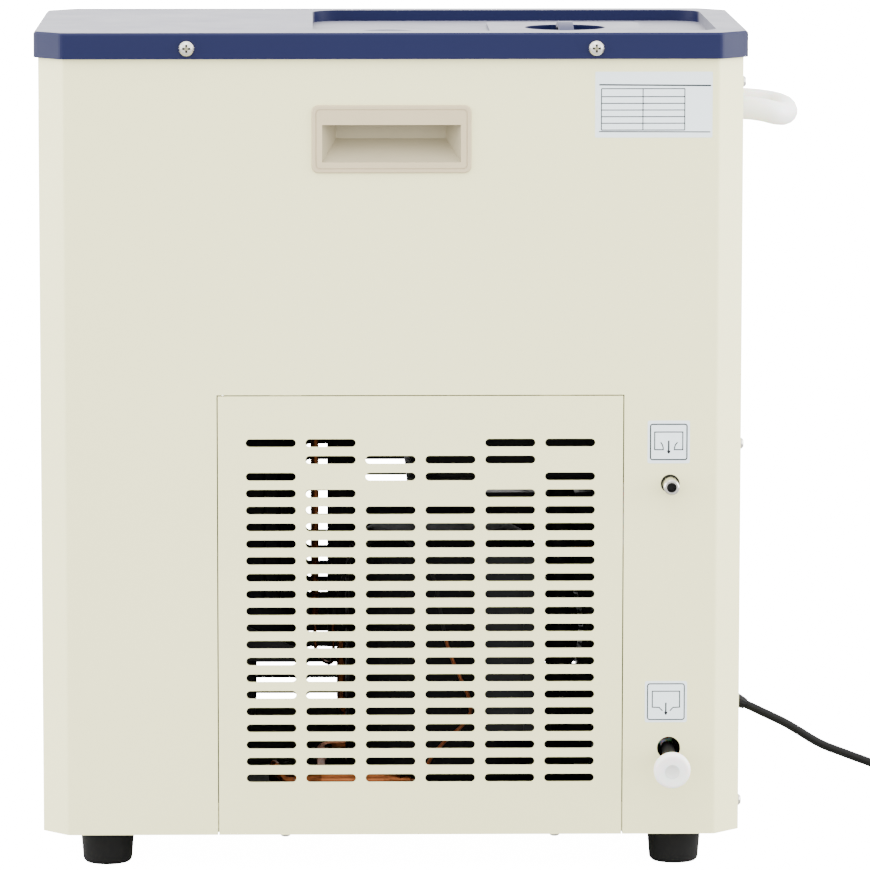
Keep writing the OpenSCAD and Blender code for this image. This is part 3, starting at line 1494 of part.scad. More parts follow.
module filter_drier() {
    r = drier_d / 2;
    neck = line_d / 2 + 1;
    color([0.76, 0.46, 0.28]) translate([drier_x - drier_l / 2, drier_y, drier_z]) facing_back()
        rotate_extrude() polygon([
            [0, 0], [neck, 0], [neck, 7], [r - 1.5, 17], [r, 21], [r, drier_l - 21],
            [r - 1.5, drier_l - 17], [neck - 2, drier_l - 7], [neck - 2, drier_l], [0, drier_l]
        ]);
}

module discharge_line() {
    color(copper) sweep(rounded([
        [can_x + 20, can_y + can_d / 2 - 11.6, discharge_z], [can_x + 20, can_y + can_d / 2 + 9, discharge_z],
        [can_x + 96, can_y + can_d / 2 + 9, discharge_z + 2], [cond_x1 + 18, cond_y0 - 40, discharge_z + 8],
        [cond_x1 + 18, cond_y0 + cond_w * 0.73, cond_top - 24],
        [cond_x1 + 4.3, cond_y0 + cond_w * 0.73, cond_top - 24]
    ], 12, 4), line_d, 8);
}

module liquid_line() {
    x_turn = drier_x - drier_l / 2 - 17;
    y_start = cond_y0 + cond_w * 0.27;
    z_start = cond_z + cond_foot + 8;
    color(copper) sweep(rounded([
        [cond_x0 - 4.3, y_start, z_start], [cond_x0 - 29, y_start, z_start], [cond_x0 - 29, -40, z_start - 5],
        [x_turn, drier_y + 22, drier_z - 6], [x_turn, drier_y, drier_z + 16],
        [x_turn + 8, drier_y, drier_z], [drier_x - drier_l / 2 - 0.3, drier_y, drier_z]
    ], 14, 4), line_d, 8);
}

module capillary() {
    x0 = drier_x + drier_l / 2 + 0.3;
    y = -half_w + 15;
    color([0.8, 0.45, 0.25]) sweep(rounded([
        [x0, drier_y, drier_z], [x0 + 7, drier_y, drier_z], [34, y, 92], [66, y, 120], [43, y, 172],
        [33, y, 232], [4, -104, 262], [-30, -80, 240], [-45, -56, 190], [-44, -34, 140],
        [evap_line_x, evap_line_y, 146], [evap_line_x, evap_line_y, 169.7]
    ], 16, 4), 3, 8);
}

module suction_line() {
    z_up = evap_z + evap_turns * evap_pitch;
    color(copper) {
        sweep(rounded([
            [foam_x0 - 14.3, evap_out_y, z_up], [suction_x, evap_out_y, z_up], [suction_x, suction_y, 372],
            [suction_x, suction_y, suction_z], [-21.8, suction_y, suction_z]
        ], 17, 4), line_d + 1.5, 8);
        sweep(rounded([
            [evap_line_x, evap_line_y, 170], [evap_line_x, evap_line_y, evap_z + 10],
            [evap_line_x, evap_out_y, evap_z], [foam_x0 - 14.3, evap_out_y, evap_z]
        ], 14, 4), 6.4, 8);
    }
}

module suction_sleeve() {
    z0 = 160;
    z1 = 350;
    color([0.12, 0.12, 0.12]) translate([suction_x, suction_y, z0]) difference() {
        cylinder(d = sleeve_d, h = z1 - z0);
        translate([0, 0, -1]) cylinder(d = line_d + 1.5 + 0.4, h = z1 - z0 + 2);
    }
}

// Mains lead

gland_thread_d = 12;
gland_route = [[272, 0, 0], [276.5, 0, -0.3], [281, 0, -1.3], [285.5, 0, -3], [290, 0, -5.1]];
gland_widths = [16, 14.6, 12.8, 10.6, cord_d + 1.4];

module cord_gland() {
    color([0.08, 0.08, 0.08]) {
        translate([half_l, gland_y, gland_z]) facing_back() {
            cylinder(d = 19, h = 4, $fn = 6);
            translate([0, 0, -8]) cylinder(d = gland_thread_d, h = 9);
            translate([0, 0, -sheet - 4]) cylinder(d = 18, h = 4, $fn = 6);
        }
        translate([0, gland_y, gland_z]) sweep(gland_route, gland_widths, 12);
    }
}

module mains_cord() {
    color(cord_black) {
        sweep(cord_route, cord_d, 8);
        sweep(plug_route, cord_d, 8);
    }
}

module cord_coil() {
    color(cord_black) translate([coil_x, coil_y, 0.1]) rotate_extrude()
        translate([coil_mid_d / 2 - coil_band / 2, 0]) square([coil_band, coil_h]);
}

module mains_plug() {
    color([0.08, 0.08, 0.08]) translate([456, -98.3, mains_plug_d / 2 + 0.2]) facing_near() {
        difference() {
            rotate_extrude() polygon([
                [0, -8], [5.2, -8], [6.2, 6], [15, 12], [mains_plug_d / 2, 17], [mains_plug_d / 2, 33],
                [0, 33]
            ]);
            for (x = [-1, 1]) translate([x * (mains_plug_d / 2 + 1), 0, 24]) cube([8, 7, 20], center = true);
        }
        for (x = [-1, 1]) translate([x * 9.5, 0, 32.9]) cylinder(d = 4.8, h = 19);
    }
}

casing_shell();
back_panel();
base_tray();
vent_panel_near();
vent_panel_far();
top_cover();
tank_lid();
hand_cup_near();
hand_cup_far();
feet();
foot_screws();
casing_screws();
control_bezel();
display_window();
controller_board();
key_set();
key_shift();
key_down();
key_up();
switch_housings();
power_rocker();
cooling_rocker();
pump_rocker();
overflow_nozzle();
overflow_hose();
drain_tube();
drain_hose();
drain_plug();
hose_ports();
port_nuts();
loop_hose();
tank();
tank_foam();
tank_deck();
evaporator_coil();
temperature_probe();
pump_housing();
pump_cover();
pump_rotor();
pump_shelf();
feed_hose();
supply_hose();
compressor();
compressor_mounts();
terminal_cover();
condenser_core();
fan_shroud();
fan_motor();
fan_rotor();
filter_drier();
discharge_line();
liquid_line();
capillary();
suction_line();
partition();
mains_cord();
cord_coil();
mains_plug();
cord_gland();
suction_sleeve();
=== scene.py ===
"""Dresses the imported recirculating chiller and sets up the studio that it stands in."""

import json
import logging
import math
from dataclasses import dataclass, field
from enum import Enum
from typing import Any, Callable, Sequence

import bmesh
import bpy
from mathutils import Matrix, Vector


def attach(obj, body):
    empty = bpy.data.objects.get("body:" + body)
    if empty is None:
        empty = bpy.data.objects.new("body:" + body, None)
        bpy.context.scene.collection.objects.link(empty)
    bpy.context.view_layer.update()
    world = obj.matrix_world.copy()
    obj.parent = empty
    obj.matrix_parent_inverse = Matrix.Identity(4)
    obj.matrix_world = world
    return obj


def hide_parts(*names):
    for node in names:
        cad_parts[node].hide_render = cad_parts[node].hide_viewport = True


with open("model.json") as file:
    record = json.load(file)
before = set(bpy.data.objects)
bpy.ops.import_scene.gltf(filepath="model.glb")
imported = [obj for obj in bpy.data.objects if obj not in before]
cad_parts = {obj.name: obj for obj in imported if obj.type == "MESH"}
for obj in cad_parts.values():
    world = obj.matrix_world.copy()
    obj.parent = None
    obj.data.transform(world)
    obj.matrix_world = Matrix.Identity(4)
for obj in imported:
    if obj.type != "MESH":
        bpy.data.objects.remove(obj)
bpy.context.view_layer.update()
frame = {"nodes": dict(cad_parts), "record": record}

LOG = logging.getLogger("chiller")
MM = 0.001
MAIN_BODY = "cabinet"
SHARP_ANGLE = math.radians(40)
TUBE_STEPS = 6
CORNER_STEPS = 6
LATHE_SIDES = 32
# Where the factor of a noise mostly lies
NOISE_RANGE = (0.3, 0.7)
# How deep a bump looks, in metres
RELIEF = 0.0002
FINE_RELIEF = 0.0001

Colour = tuple[float, float, float]
Point = tuple[float, float, float]
Flat = tuple[float, float]

WHITE: Colour = (1.0, 1.0, 1.0)
BLACK: Colour = (0.0, 0.0, 0.0)


def rgba(colour: Colour) -> tuple[float, float, float, float]:
    """Returns a colour with full alpha."""
    return (*colour, 1.0)


def linear(red: float, green: float, blue: float) -> Colour:
    """Turns screen values from 0 to 255 into linear light.

    Args:
        red: Screen red.
        green: Screen green.
        blue: Screen blue.

    Returns:
        The same colour in linear light, each part from 0 to 1.
    """

    def one(value: float) -> float:
        """Returns one channel in linear light."""
        part = value / 255.0
        return part / 12.92 if part <= 0.04045 else ((part + 0.055) / 1.055) ** 2.4

    return (one(red), one(green), one(blue))


# Shader node groups


class Effect(Enum):
    """The surface effects that several finishes share."""

    GRAIN = "moulded_grain"
    PEEL = "paint_peel"
    DRAW = "drawn_metal"
    SETTLED = "settled_dust"


class EffectLibrary:
    """Builds each shared shader node group once."""

    def __init__(self) -> None:
        """Starts with no group made."""
        self._made: dict[Effect, bpy.types.NodeTree] = {}

    def get(self, effect: Effect) -> bpy.types.NodeTree:
        """Returns the node group of an effect, making it on first use.

        Args:
            effect: The effect that a material needs.

        Returns:
            The shader node group.
        """
        if effect not in self._made:
            makers: dict[Effect, Callable[[], bpy.types.NodeTree]] = {
                Effect.GRAIN: self._moulded_grain,
                Effect.PEEL: self._paint_peel,
                Effect.DRAW: self._drawn_metal,
                Effect.SETTLED: self._settled_dust,
            }
            self._made[effect] = makers[effect]()
        return self._made[effect]

    @staticmethod
    def _blank(
        effect: Effect, inputs: dict[str, float], outputs: Sequence[str]
    ) -> tuple[bpy.types.NodeTree, Any, Any]:
        """Makes an empty group with float sockets.

        Args:
            effect: The effect that names the group.
            inputs: Input names with their defaults.
            outputs: Output names.

        Returns:
            The group, its input node and its output node.
        """
        tree = bpy.data.node_groups.new(effect.value, "ShaderNodeTree")
        for name, value in inputs.items():
            socket = tree.interface.new_socket(name, in_out="INPUT", socket_type="NodeSocketFloat")
            socket.default_value = value
        for name in outputs:
            tree.interface.new_socket(name, in_out="OUTPUT", socket_type="NodeSocketFloat")
        return tree, tree.nodes.new("NodeGroupInput"), tree.nodes.new("NodeGroupOutput")

    @staticmethod
    def _scaled(tree: bpy.types.NodeTree, stretch: Point = (1.0, 1.0, 1.0)) -> Any:
        """Makes the object coordinates, scaled along each axis.

        Args:
            tree: The group that they are made in.
            stretch: The scale along each axis.

        Returns:
            The socket with the coordinates.
        """
        where = tree.nodes.new("ShaderNodeTexCoord")
        mapping = tree.nodes.new("ShaderNodeMapping")
        mapping.inputs["Scale"].default_value = stretch
        tree.links.new(where.outputs["Object"], mapping.inputs["Vector"])
        return mapping.outputs["Vector"]

    @staticmethod
    def _noise(
        tree: bpy.types.NodeTree, vector: Any, scale: Any, detail: float, roughness: float = 0.5
    ) -> Any:
        """Makes a noise.

        Args:
            tree: The group that it is made in.
            vector: The socket with its coordinates.
            scale: Its scale, as a number or a socket.
            detail: How many finer layers it has.
            roughness: How strong the finer layers are.

        Returns:
            The socket with its factor.
        """
        noise = tree.nodes.new("ShaderNodeTexNoise")
        noise.inputs["Detail"].default_value = detail
        noise.inputs["Roughness"].default_value = roughness
        if isinstance(scale, float):
            noise.inputs["Scale"].default_value = scale
        else:
            tree.links.new(scale, noise.inputs["Scale"])
        tree.links.new(vector, noise.inputs["Vector"])
        return noise.outputs["Fac"]

    @staticmethod
    def _product(tree: bpy.types.NodeTree, first: Any, second: Any, clamped: bool = False) -> Any:
        """Multiplies two factors.

        Args:
            tree: The group that it is made in.
            first: The socket with one factor.
            second: The socket with the other.
            clamped: Whether the product stays between 0 and 1.

        Returns:
            The socket with the product.
        """
        node = tree.nodes.new("ShaderNodeMath")
        node.operation = "MULTIPLY"
        node.use_clamp = clamped
        tree.links.new(first, node.inputs[0])
        tree.links.new(second, node.inputs[1])
        return node.outputs[0]

    def _moulded_grain(self) -> bpy.types.NodeTree:
        """Makes the fine cells and faint cloudiness of a moulded surface.

        Returns:
            The shader node group.
        """
        tree, given, out = self._blank(
            Effect.GRAIN, {"Cells": 1400.0, "Cloud": 14.0}, ("Height", "Cloudiness")
        )
        where = self._scaled(tree)
        cells = tree.nodes.new("ShaderNodeTexVoronoi")
        cells.feature = "SMOOTH_F1"
        tree.links.new(where, cells.inputs["Vector"])
        tree.links.new(given.outputs["Cells"], cells.inputs["Scale"])
        tree.links.new(cells.outputs["Distance"], out.inputs["Height"])
        cloud = self._noise(tree, where, given.outputs["Cloud"], detail=3.0)
        tree.links.new(cloud, out.inputs["Cloudiness"])
        return tree

    def _paint_peel(self) -> bpy.types.NodeTree:
        """Makes the ripple of sprayed paint and its slow drift in tone.

        Returns:
            The shader node group.
        """
        tree, given, out = self._blank(
            Effect.PEEL, {"Ripple": 620.0, "Drift": 3.2}, ("Height", "Tone", "Haze")
        )
        where = self._scaled(tree)
        ripple = self._noise(tree, where, given.outputs["Ripple"], detail=2.0, roughness=0.35)
        tree.links.new(ripple, out.inputs["Height"])
        drift = self._noise(tree, where, given.outputs["Drift"], detail=2.0)
        tree.links.new(drift, out.inputs["Tone"])
        haze = self._noise(tree, where, scale=24.0, detail=4.0)
        tree.links.new(haze, out.inputs["Haze"])
        return tree

    def _drawn_metal(self) -> bpy.types.NodeTree:
        """Makes the lengthwise lines of rolled or drawn metal, with soft blotches.

        Returns:
            The shader node group.
        """
        tree, given, out = self._blank(
            Effect.DRAW, {"Lines": 60.0, "Blotch": 30.0}, ("Height", "Streak", "Stain")
        )
        across = self._scaled(tree, stretch=(1.0, 1.0, 26.0))
        lines = self._noise(tree, across, given.outputs["Lines"], detail=3.0)
        tree.links.new(lines, out.inputs["Height"])
        tree.links.new(lines, out.inputs["Streak"])
        blotch = self._noise(tree, self._scaled(tree), given.outputs["Blotch"], detail=4.0)
        tree.links.new(blotch, out.inputs["Stain"])
        return tree

    def _settled_dust(self) -> bpy.types.NodeTree:
        """Makes a broken mask of dust that lies on faces that look up.

        Returns:
            The shader node group.
        """
        tree, given, out = self._blank(Effect.SETTLED, {"Amount": 0.3}, ("Dust",))
        surface = tree.nodes.new("ShaderNodeNewGeometry")
        parts = tree.nodes.new("ShaderNodeSeparateXYZ")
        tree.links.new(surface.outputs["Normal"], parts.inputs["Vector"])
        broken = self._noise(tree, self._scaled(tree), scale=45.0, detail=5.0)
        upward = self._product(tree, parts.outputs["Z"], broken, clamped=True)
        dust = self._product(tree, upward, given.outputs["Amount"])
        tree.links.new(dust, out.inputs["Dust"])
        return tree


EFFECTS = EffectLibrary()


# Finishes


class Weave:
    """Wires one material: its Principled shader, its groups and its mixes."""

    def __init__(self, name: str) -> None:
        """Makes the material.

        Args:
            name: The material's name.
        """
        self.material = bpy.data.materials.new(name)
        self.material.use_nodes = True
        self.tree = self.material.node_tree
        self.shader = self.tree.nodes["Principled BSDF"]

    def group(self, effect: Effect, **values: float) -> Any:
        """Places a shared group.

        Args:
            effect: The effect that it makes.
            **values: Its inputs by name, where they differ from the group's own.

        Returns:
            The group's node.
        """
        node = self.tree.nodes.new("ShaderNodeGroup")
        node.node_tree = EFFECTS.get(effect)
        for name, value in values.items():
            node.inputs[name].default_value = value
        return node

    def mask(self, source: Any, low: float, high: float, start: float, end: float) -> Any:
        """Maps a factor between two limits onto two values.

        Args:
            source: The socket to map.
            low: Where the ramp starts.
            high: Where the ramp ends.
            start: The value at the ramp's start.
            end: The value at the ramp's end.

        Returns:
            The mapped socket.
        """
        ramp = self.tree.nodes.new("ShaderNodeMapRange")
        ramp.inputs["From Min"].default_value = low
        ramp.inputs["From Max"].default_value = high
        ramp.inputs["To Min"].default_value = start
        ramp.inputs["To Max"].default_value = end
        self.tree.links.new(source, ramp.inputs["Value"])
        return ramp.outputs["Result"]

    def blend(self, factor: Any, first: Any, second: Any) -> Any:
        """Mixes two colours.

        Args:
            factor: The socket that says how much of the second shows.
            first: One colour, plain or a socket.
            second: The other colour, plain or a socket.

        Returns:
            The socket with the mix.
        """
        mix = self.tree.nodes.new("ShaderNodeMix")
        mix.data_type = "RGBA"
        self.tree.links.new(factor, mix.inputs["Factor"])
        for value, socket in ((first, mix.inputs[6]), (second, mix.inputs[7])):
            if isinstance(value, tuple):
                socket.default_value = rgba(value)
            else:
                self.tree.links.new(value, socket)
        return mix.outputs[2]

    def tone(self, noise: Any, first: Any, second: Any) -> Any:
        """Returns two colours mixed by a noise."""
        return self.blend(self.mask(noise, *NOISE_RANGE, 0.0, 1.0), first, second)

    def gloss(self, noise: Any, roughness: float, spread: Flat) -> None:
        """Lets the roughness drift with a noise, as far below and above its value as the spread says."""
        below, above = spread
        self.feed(self.mask(noise, *NOISE_RANGE, roughness - below, roughness + above), "Roughness")

    def dusted(self, tone: Any, amount: float, dust: Colour) -> Any:
        """Returns a tone with dust on the faces that look up."""
        settled = self.group(Effect.SETTLED, Amount=amount)
        return self.blend(settled.outputs["Dust"], tone, dust)

    def feed(self, source: Any, socket: str) -> None:
        """Links a socket to the Principled shader's input of that name."""
        self.tree.links.new(source, self.shader.inputs[socket])

    def plain(self, socket: str, value: float) -> None:
        """Sets a plain value on the Principled shader's own socket."""
        self.shader.inputs[socket].default_value = value

    def bump(self, height: Any, strength: float, distance: float) -> None:
        """Raises the surface by a height, without moving it.

        Args:
            height: The socket with the height.
            strength: How much of the height is seen.
            distance: The height's depth in metres.
        """
        node = self.tree.nodes.new("ShaderNodeBump")
        node.inputs["Strength"].default_value = strength
        node.inputs["Distance"].default_value = distance
        self.tree.links.new(height, node.inputs["Height"])
        self.feed(node.outputs["Normal"], "Normal")


@dataclass(frozen=True)
class SprayedPaint:
    """Sprayed and baked paint on sheet steel."""

    name: str
    colour: Colour
    shade: Colour
    roughness: float
    ripple: float
    dust: float = 0.0
    specular: float = 0.5
    # How strongly a painted sheen, standing in for the room's reflection, pales the paint at grazing angles
    painted_sheen: float = 0.0
    dust_tone: Colour = linear(214, 213, 208)
    painted_sheen_tone: Colour = linear(198, 196, 202)
    grazing: Flat = (0.6, 0.92)
    spread: Flat = (0.03, 0.05)

    def material(self) -> bpy.types.Material:
        """Returns the paint as a material, with a painted sheen that makes it paler where it is seen from low
        down.
        """
        made = Weave(self.name)
        peel = made.group(Effect.PEEL)
        tone = made.tone(peel.outputs["Tone"], self.colour, self.shade)
        if self.dust > 0:
            tone = made.dusted(tone, self.dust, self.dust_tone)
        # Painted sheen: a pale tone mixed in where the surface is seen at a grazing angle
        if self.painted_sheen > 0:
            edge = made.tree.nodes.new("ShaderNodeLayerWeight")
            edge.inputs["Blend"].default_value = 0.5
            low = made.mask(edge.outputs["Facing"], *self.grazing, 0.0, self.painted_sheen)
            tone = made.blend(low, tone, self.painted_sheen_tone)
        made.feed(tone, "Base Color")
        made.gloss(peel.outputs["Haze"], self.roughness, self.spread)
        made.bump(peel.outputs["Height"], self.ripple, RELIEF)
        made.plain("Specular IOR Level", self.specular)
        return made.material


@dataclass(frozen=True)
class Moulding:
    """Moulded plastic or rubber with a fine grain."""

    name: str
    colour: Colour
    shade: Colour
    roughness: float
    grain: float
    cells: float = 1400.0
    dust: float = 0.0
    specular: float = 0.5
    dust_tone: Colour = linear(150, 148, 142)
    spread: Flat = (0.05, 0.05)

    def material(self) -> bpy.types.Material:
        """Returns the moulding as a material."""
        made = Weave(self.name)
        grain = made.group(Effect.GRAIN, Cells=self.cells)
        tone = made.tone(grain.outputs["Cloudiness"], self.colour, self.shade)
        if self.dust > 0:
            tone = made.dusted(tone, self.dust, self.dust_tone)
        made.feed(tone, "Base Color")
        made.gloss(grain.outputs["Cloudiness"], self.roughness, self.spread)
        made.bump(grain.outputs["Height"], self.grain, FINE_RELIEF)
        made.plain("Specular IOR Level", self.specular)
        return made.material


@dataclass(frozen=True)
class MilkyPlastic:
    """Cloudy silicone or polyethylene that lets some light through."""

    name: str
    colour: Colour
    shade: Colour
    roughness: float
    depth: float
    milkiness: float = 0.6
    grain: float = 0.05
    spread: Flat = (0.06, 0.08)

    def material(self) -> bpy.types.Material:
        """Returns the plastic as a material."""
        made = Weave(self.name)
        grain = made.group(Effect.GRAIN, Cells=700.0, Cloud=40.0)
        made.feed(made.tone(grain.outputs["Cloudiness"], self.colour, self.shade), "Base Color")
        made.gloss(grain.outputs["Cloudiness"], self.roughness, self.spread)
        made.bump(grain.outputs["Height"], self.grain, RELIEF)
        made.plain("Subsurface Weight", self.milkiness)
        made.plain("Subsurface Scale", self.depth)
        return made.material


@dataclass(frozen=True)
class BareMetal:
    """Rolled, drawn or turned metal with no paint."""

    name: str
    colour: Colour
    stain: Colour
    roughness: float
    lines: float
    stained: float = 0.5
    stain_range: Flat = (0.45, 0.75)
    relief: float = 0.05
    spread: Flat = (0.08, 0.12)

    def material(self) -> bpy.types.Material:
        """Returns the metal as a material."""
        made = Weave(self.name)
        drawn = made.group(Effect.DRAW, Lines=self.lines)
        stains = made.mask(drawn.outputs["Stain"], *self.stain_range, 0.0, self.stained)
        made.feed(made.blend(stains, self.colour, self.stain), "Base Color")
        made.gloss(drawn.outputs["Streak"], self.roughness, self.spread)
        made.bump(drawn.outputs["Height"], self.relief, RELIEF)
        made.plain("Metallic", 1.0)
        return made.material


@dataclass(frozen=True)
class TintedWindow:
    """Dark tinted window over a display."""

    name: str
    colour: Colour
    shade: Colour
    roughness: float = 0.05
    coat: float = 0.6
    spread: Flat = (0.0, 0.07)

    def material(self) -> bpy.types.Material:
        """Returns the window as a material."""
        made = Weave(self.name)
        grain = made.group(Effect.GRAIN, Cells=200.0, Cloud=60.0)
        made.feed(made.blend(grain.outputs["Cloudiness"], self.colour, self.shade), "Base Color")
        made.gloss(grain.outputs["Cloudiness"], self.roughness, self.spread)
        made.plain("Coat Weight", self.coat)
        return made.material


Finish = SprayedPaint | Moulding | MilkyPlastic | BareMetal | TintedWindow

CREAM = linear(225, 222, 171)
WINDOW_TINT = linear(52, 12, 12)
FINISHES: dict[str, Finish] = {
    finish.name: finish
    for finish in (
        SprayedPaint("casing_paint", CREAM, linear(222, 219, 167), 0.42, 0.06, 0.1),
        # The cover paint carries a painted sheen at grazing angles
        SprayedPaint(
            "cover_paint", linear(10, 16, 53), linear(9, 14, 49), 0.42, 0.03, specular=0.15, painted_sheen=0.25
        ),
        Moulding("cup_plastic", linear(179, 164, 131), linear(175, 160, 127), 0.5, 0.14),
        Moulding("foot_rubber", linear(18, 18, 18), linear(21, 21, 21), 0.55, 0.2, 900.0, specular=0.08),
        BareMetal("zinc_steel", (0.52, 0.51, 0.47), (0.4, 0.36, 0.27), 0.2, 40.0, 0.4),
        Moulding("bezel_plastic", linear(34, 35, 40), linear(30, 31, 36), 0.5, 0.16, specular=0.2),
        TintedWindow("window_red", WINDOW_TINT, tuple(part * 0.6 for part in WINDOW_TINT)),
        Moulding("board_green", linear(24, 80, 46), linear(18, 66, 38), 0.35, 0.1),
        Moulding("key_plastic", linear(206, 205, 200), linear(200, 199, 193), 0.42, 0.1),
        Moulding("switch_plastic", linear(14, 14, 15), linear(18, 18, 19), 0.42, 0.12, specular=0.2),
        Moulding("rocker_red", linear(178, 28, 24), linear(166, 24, 22), 0.28, 0.05),
        Moulding("rocker_green", linear(36, 128, 58), linear(30, 118, 52), 0.28, 0.05),
        BareMetal("nozzle_steel", (0.42, 0.41, 0.38), (0.2, 0.18, 0.15), 0.16, 60.0, 0.5),
        BareMetal("brass", (0.52, 0.36, 0.15), (0.3, 0.2, 0.08), 0.3, 80.0),
        MilkyPlastic("silicone", linear(240, 240, 238), linear(234, 234, 231), 0.38, 0.004),
        BareMetal("stainless", (0.62, 0.62, 0.61), (0.5, 0.49, 0.47), 0.3, 50.0, 0.3),
        Moulding("foam_black", linear(14, 14, 14), linear(19, 19, 19), 0.85, 0.6, 260.0, 0.02, 0.1),
        # Painted shade of the cabinet's inside: galvanised steel, copper, fin aluminium, motor steel and the
        # grey terminal cover are far darker than their own metal and grey, and the black parts are black
        # darkened further
        BareMetal("galvanised", (0.2, 0.2, 0.2), (0.12, 0.12, 0.12), 0.42, 14.0, 0.8),
        BareMetal("copper", (0.21, 0.066, 0.022), (0.07, 0.024, 0.011), 0.34, 40.0, 0.7),
        SprayedPaint("pump_black", linear(10, 10, 11), linear(7, 7, 8), 0.55, 0.12, specular=0.06),
        Moulding("pump_plastic", linear(20, 20, 21), linear(17, 17, 18), 0.5, 0.15, 900.0, 0.04, 0.2),
        Moulding("hose_rubber", linear(15, 15, 15), linear(19, 19, 19), 0.5, 0.12, 700.0, 0.03, 0.15),
        Moulding("terminal_grey", linear(22, 23, 25), linear(19, 20, 22), 0.5, 0.15, 900.0, specular=0.12),
        BareMetal("fin_aluminium", (0.26, 0.26, 0.27), (0.14, 0.14, 0.14), 0.34, 30.0, 0.5),
        BareMetal("motor_steel", (0.16, 0.16, 0.17), (0.08, 0.07, 0.06), 0.4, 30.0, 0.6),
        SprayedPaint("shroud_black", linear(12, 12, 12), linear(15, 15, 16), 0.45, 0.1, 0.03, specular=0.2),
        Moulding("fan_plastic", linear(15, 15, 16), linear(18, 18, 19), 0.45, 0.12, 900.0, 0.03, 0.2),
        Moulding("cord_rubber", linear(11, 11, 11), linear(14, 14, 14), 0.45, 0.12, 900.0, specular=0.1),
    )
}
LABEL_FILM = Moulding("label_film", linear(212, 222, 226), linear(209, 219, 223), 0.32, 0.04, specular=0.3)
LABEL_INK = Moulding("label_ink", linear(26, 27, 30), linear(32, 33, 36), 0.5, 0.04, specular=0.1)
# Near-black sleeve in the nozzle's bore: painted shade
BORE_SHADE = Moulding("painted_bore_shade", linear(12, 12, 11), linear(16, 15, 14), 0.7, 0.1)
# Bottom of the rim screws' cross: a cream darkened as painted shade in the recess
RECESS = Moulding("recess_cream", linear(158, 152, 120), linear(140, 134, 102), 0.6, 0.1)
# Near-black ends of the screws' cross arms: painted shadow
RECESS_SHADOW = Moulding("painted_recess_shadow", linear(38, 36, 26), linear(30, 28, 20), 0.6, 0.1, specular=0.2)
# Dull dark grey for faces inside the cabinet: painted shade
INSIDE_SHADE = SprayedPaint("painted_inside_shade", linear(46, 46, 40), linear(40, 40, 35), 0.6, 0.06, specular=0.2)
SLEEVE = Moulding("capillary_sleeve", linear(11, 11, 11), linear(14, 14, 14), 0.6, 0.1, specular=0.1)
# Grey disc in the drain plug's dimple: painted shade
DIMPLE_SHADE = Moulding("painted_dimple_shade", linear(202, 203, 199), linear(194, 195, 191), 0.5, 0.05)
# Copper darker than the other copper, for the capillary's lower run
DARKER_COPPER = BareMetal("darker_copper", (0.13, 0.042, 0.018), (0.06, 0.025, 0.014), 0.4, 40.0, 0.7)
CUP_SHADE = Moulding("cup_shade", linear(152, 143, 118), linear(148, 139, 114), 0.6, 0.14, specular=0.2)
# Cover paint with little painted sheen, darker at grazing angles: painted shade of the tray's dish and of the
# lid's grip
SHADED_COVER = SprayedPaint("cover_paint_shaded", linear(22, 27, 62), linear(20, 25, 58), 0.5, 0.03, specular=0.1, painted_sheen=0.08)


class Paints:
    """Makes each finish once and hands it out."""

    def __init__(self) -> None:
        """Starts with no material made."""
        self._made: dict[str, bpy.types.Material] = {}

    def of(self, finish: Finish) -> bpy.types.Material:
        """Returns the material of a finish."""
        if finish.name not in self._made:
            self._made[finish.name] = finish.material()
        return self._made[finish.name]


PAINTS = Paints()


# Mesh helpers


def settle(piece: bpy.types.Object, body: str) -> bpy.types.Object:
    """Puts a piece into the scene and lets it ride on a body.

    Args:
        piece: The piece.
        body: The CAD body that it moves with.

    Returns:
        The same piece.
    """
    bpy.context.scene.collection.objects.link(piece)
    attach(piece, body)
    LOG.info("made %s on %s", piece.name, body)
    return piece


def new_mesh(
    name: str,
    points: Sequence[Point],
    faces: Sequence[Sequence[int]],
    finishes: Sequence[Finish],
    body: str,
    face_finish: Sequence[int] = (),
    smooth: bool = True,
) -> bpy.types.Object:
    """Makes one mesh piece, dresses it and lets it ride on a body.

    Args:
        name: The piece's name.
        points: Corner points in metres.
        faces: Corners of each face.
        finishes: Finishes in the order of the material slots.
        body: The CAD body that the piece moves with.
        face_finish: The finish number of each face, if there are several.
        smooth: Whether faces are shaded smooth where they bend gently.

    Returns:
        The new object.
    """
    mesh = bpy.data.meshes.new(name)
    mesh.from_pydata([Vector(p) for p in points], [], [list(f) for f in faces])
    mesh.validate()
    for finish in finishes:
        mesh.materials.append(PAINTS.of(finish))
    if len(face_finish) == len(mesh.polygons):
        for polygon, number in zip(mesh.polygons, face_finish):
            polygon.material_index = number
    shaped = bmesh.new()
    shaped.from_mesh(mesh)
    bmesh.ops.recalc_face_normals(shaped, faces=shaped.faces)
    shaped.to_mesh(mesh)
    shaped.free()
    if smooth:
        mesh.shade_smooth()
        mesh.set_sharp_from_angle(angle=SHARP_ANGLE)
    return settle(bpy.data.objects.new(name, mesh), body)


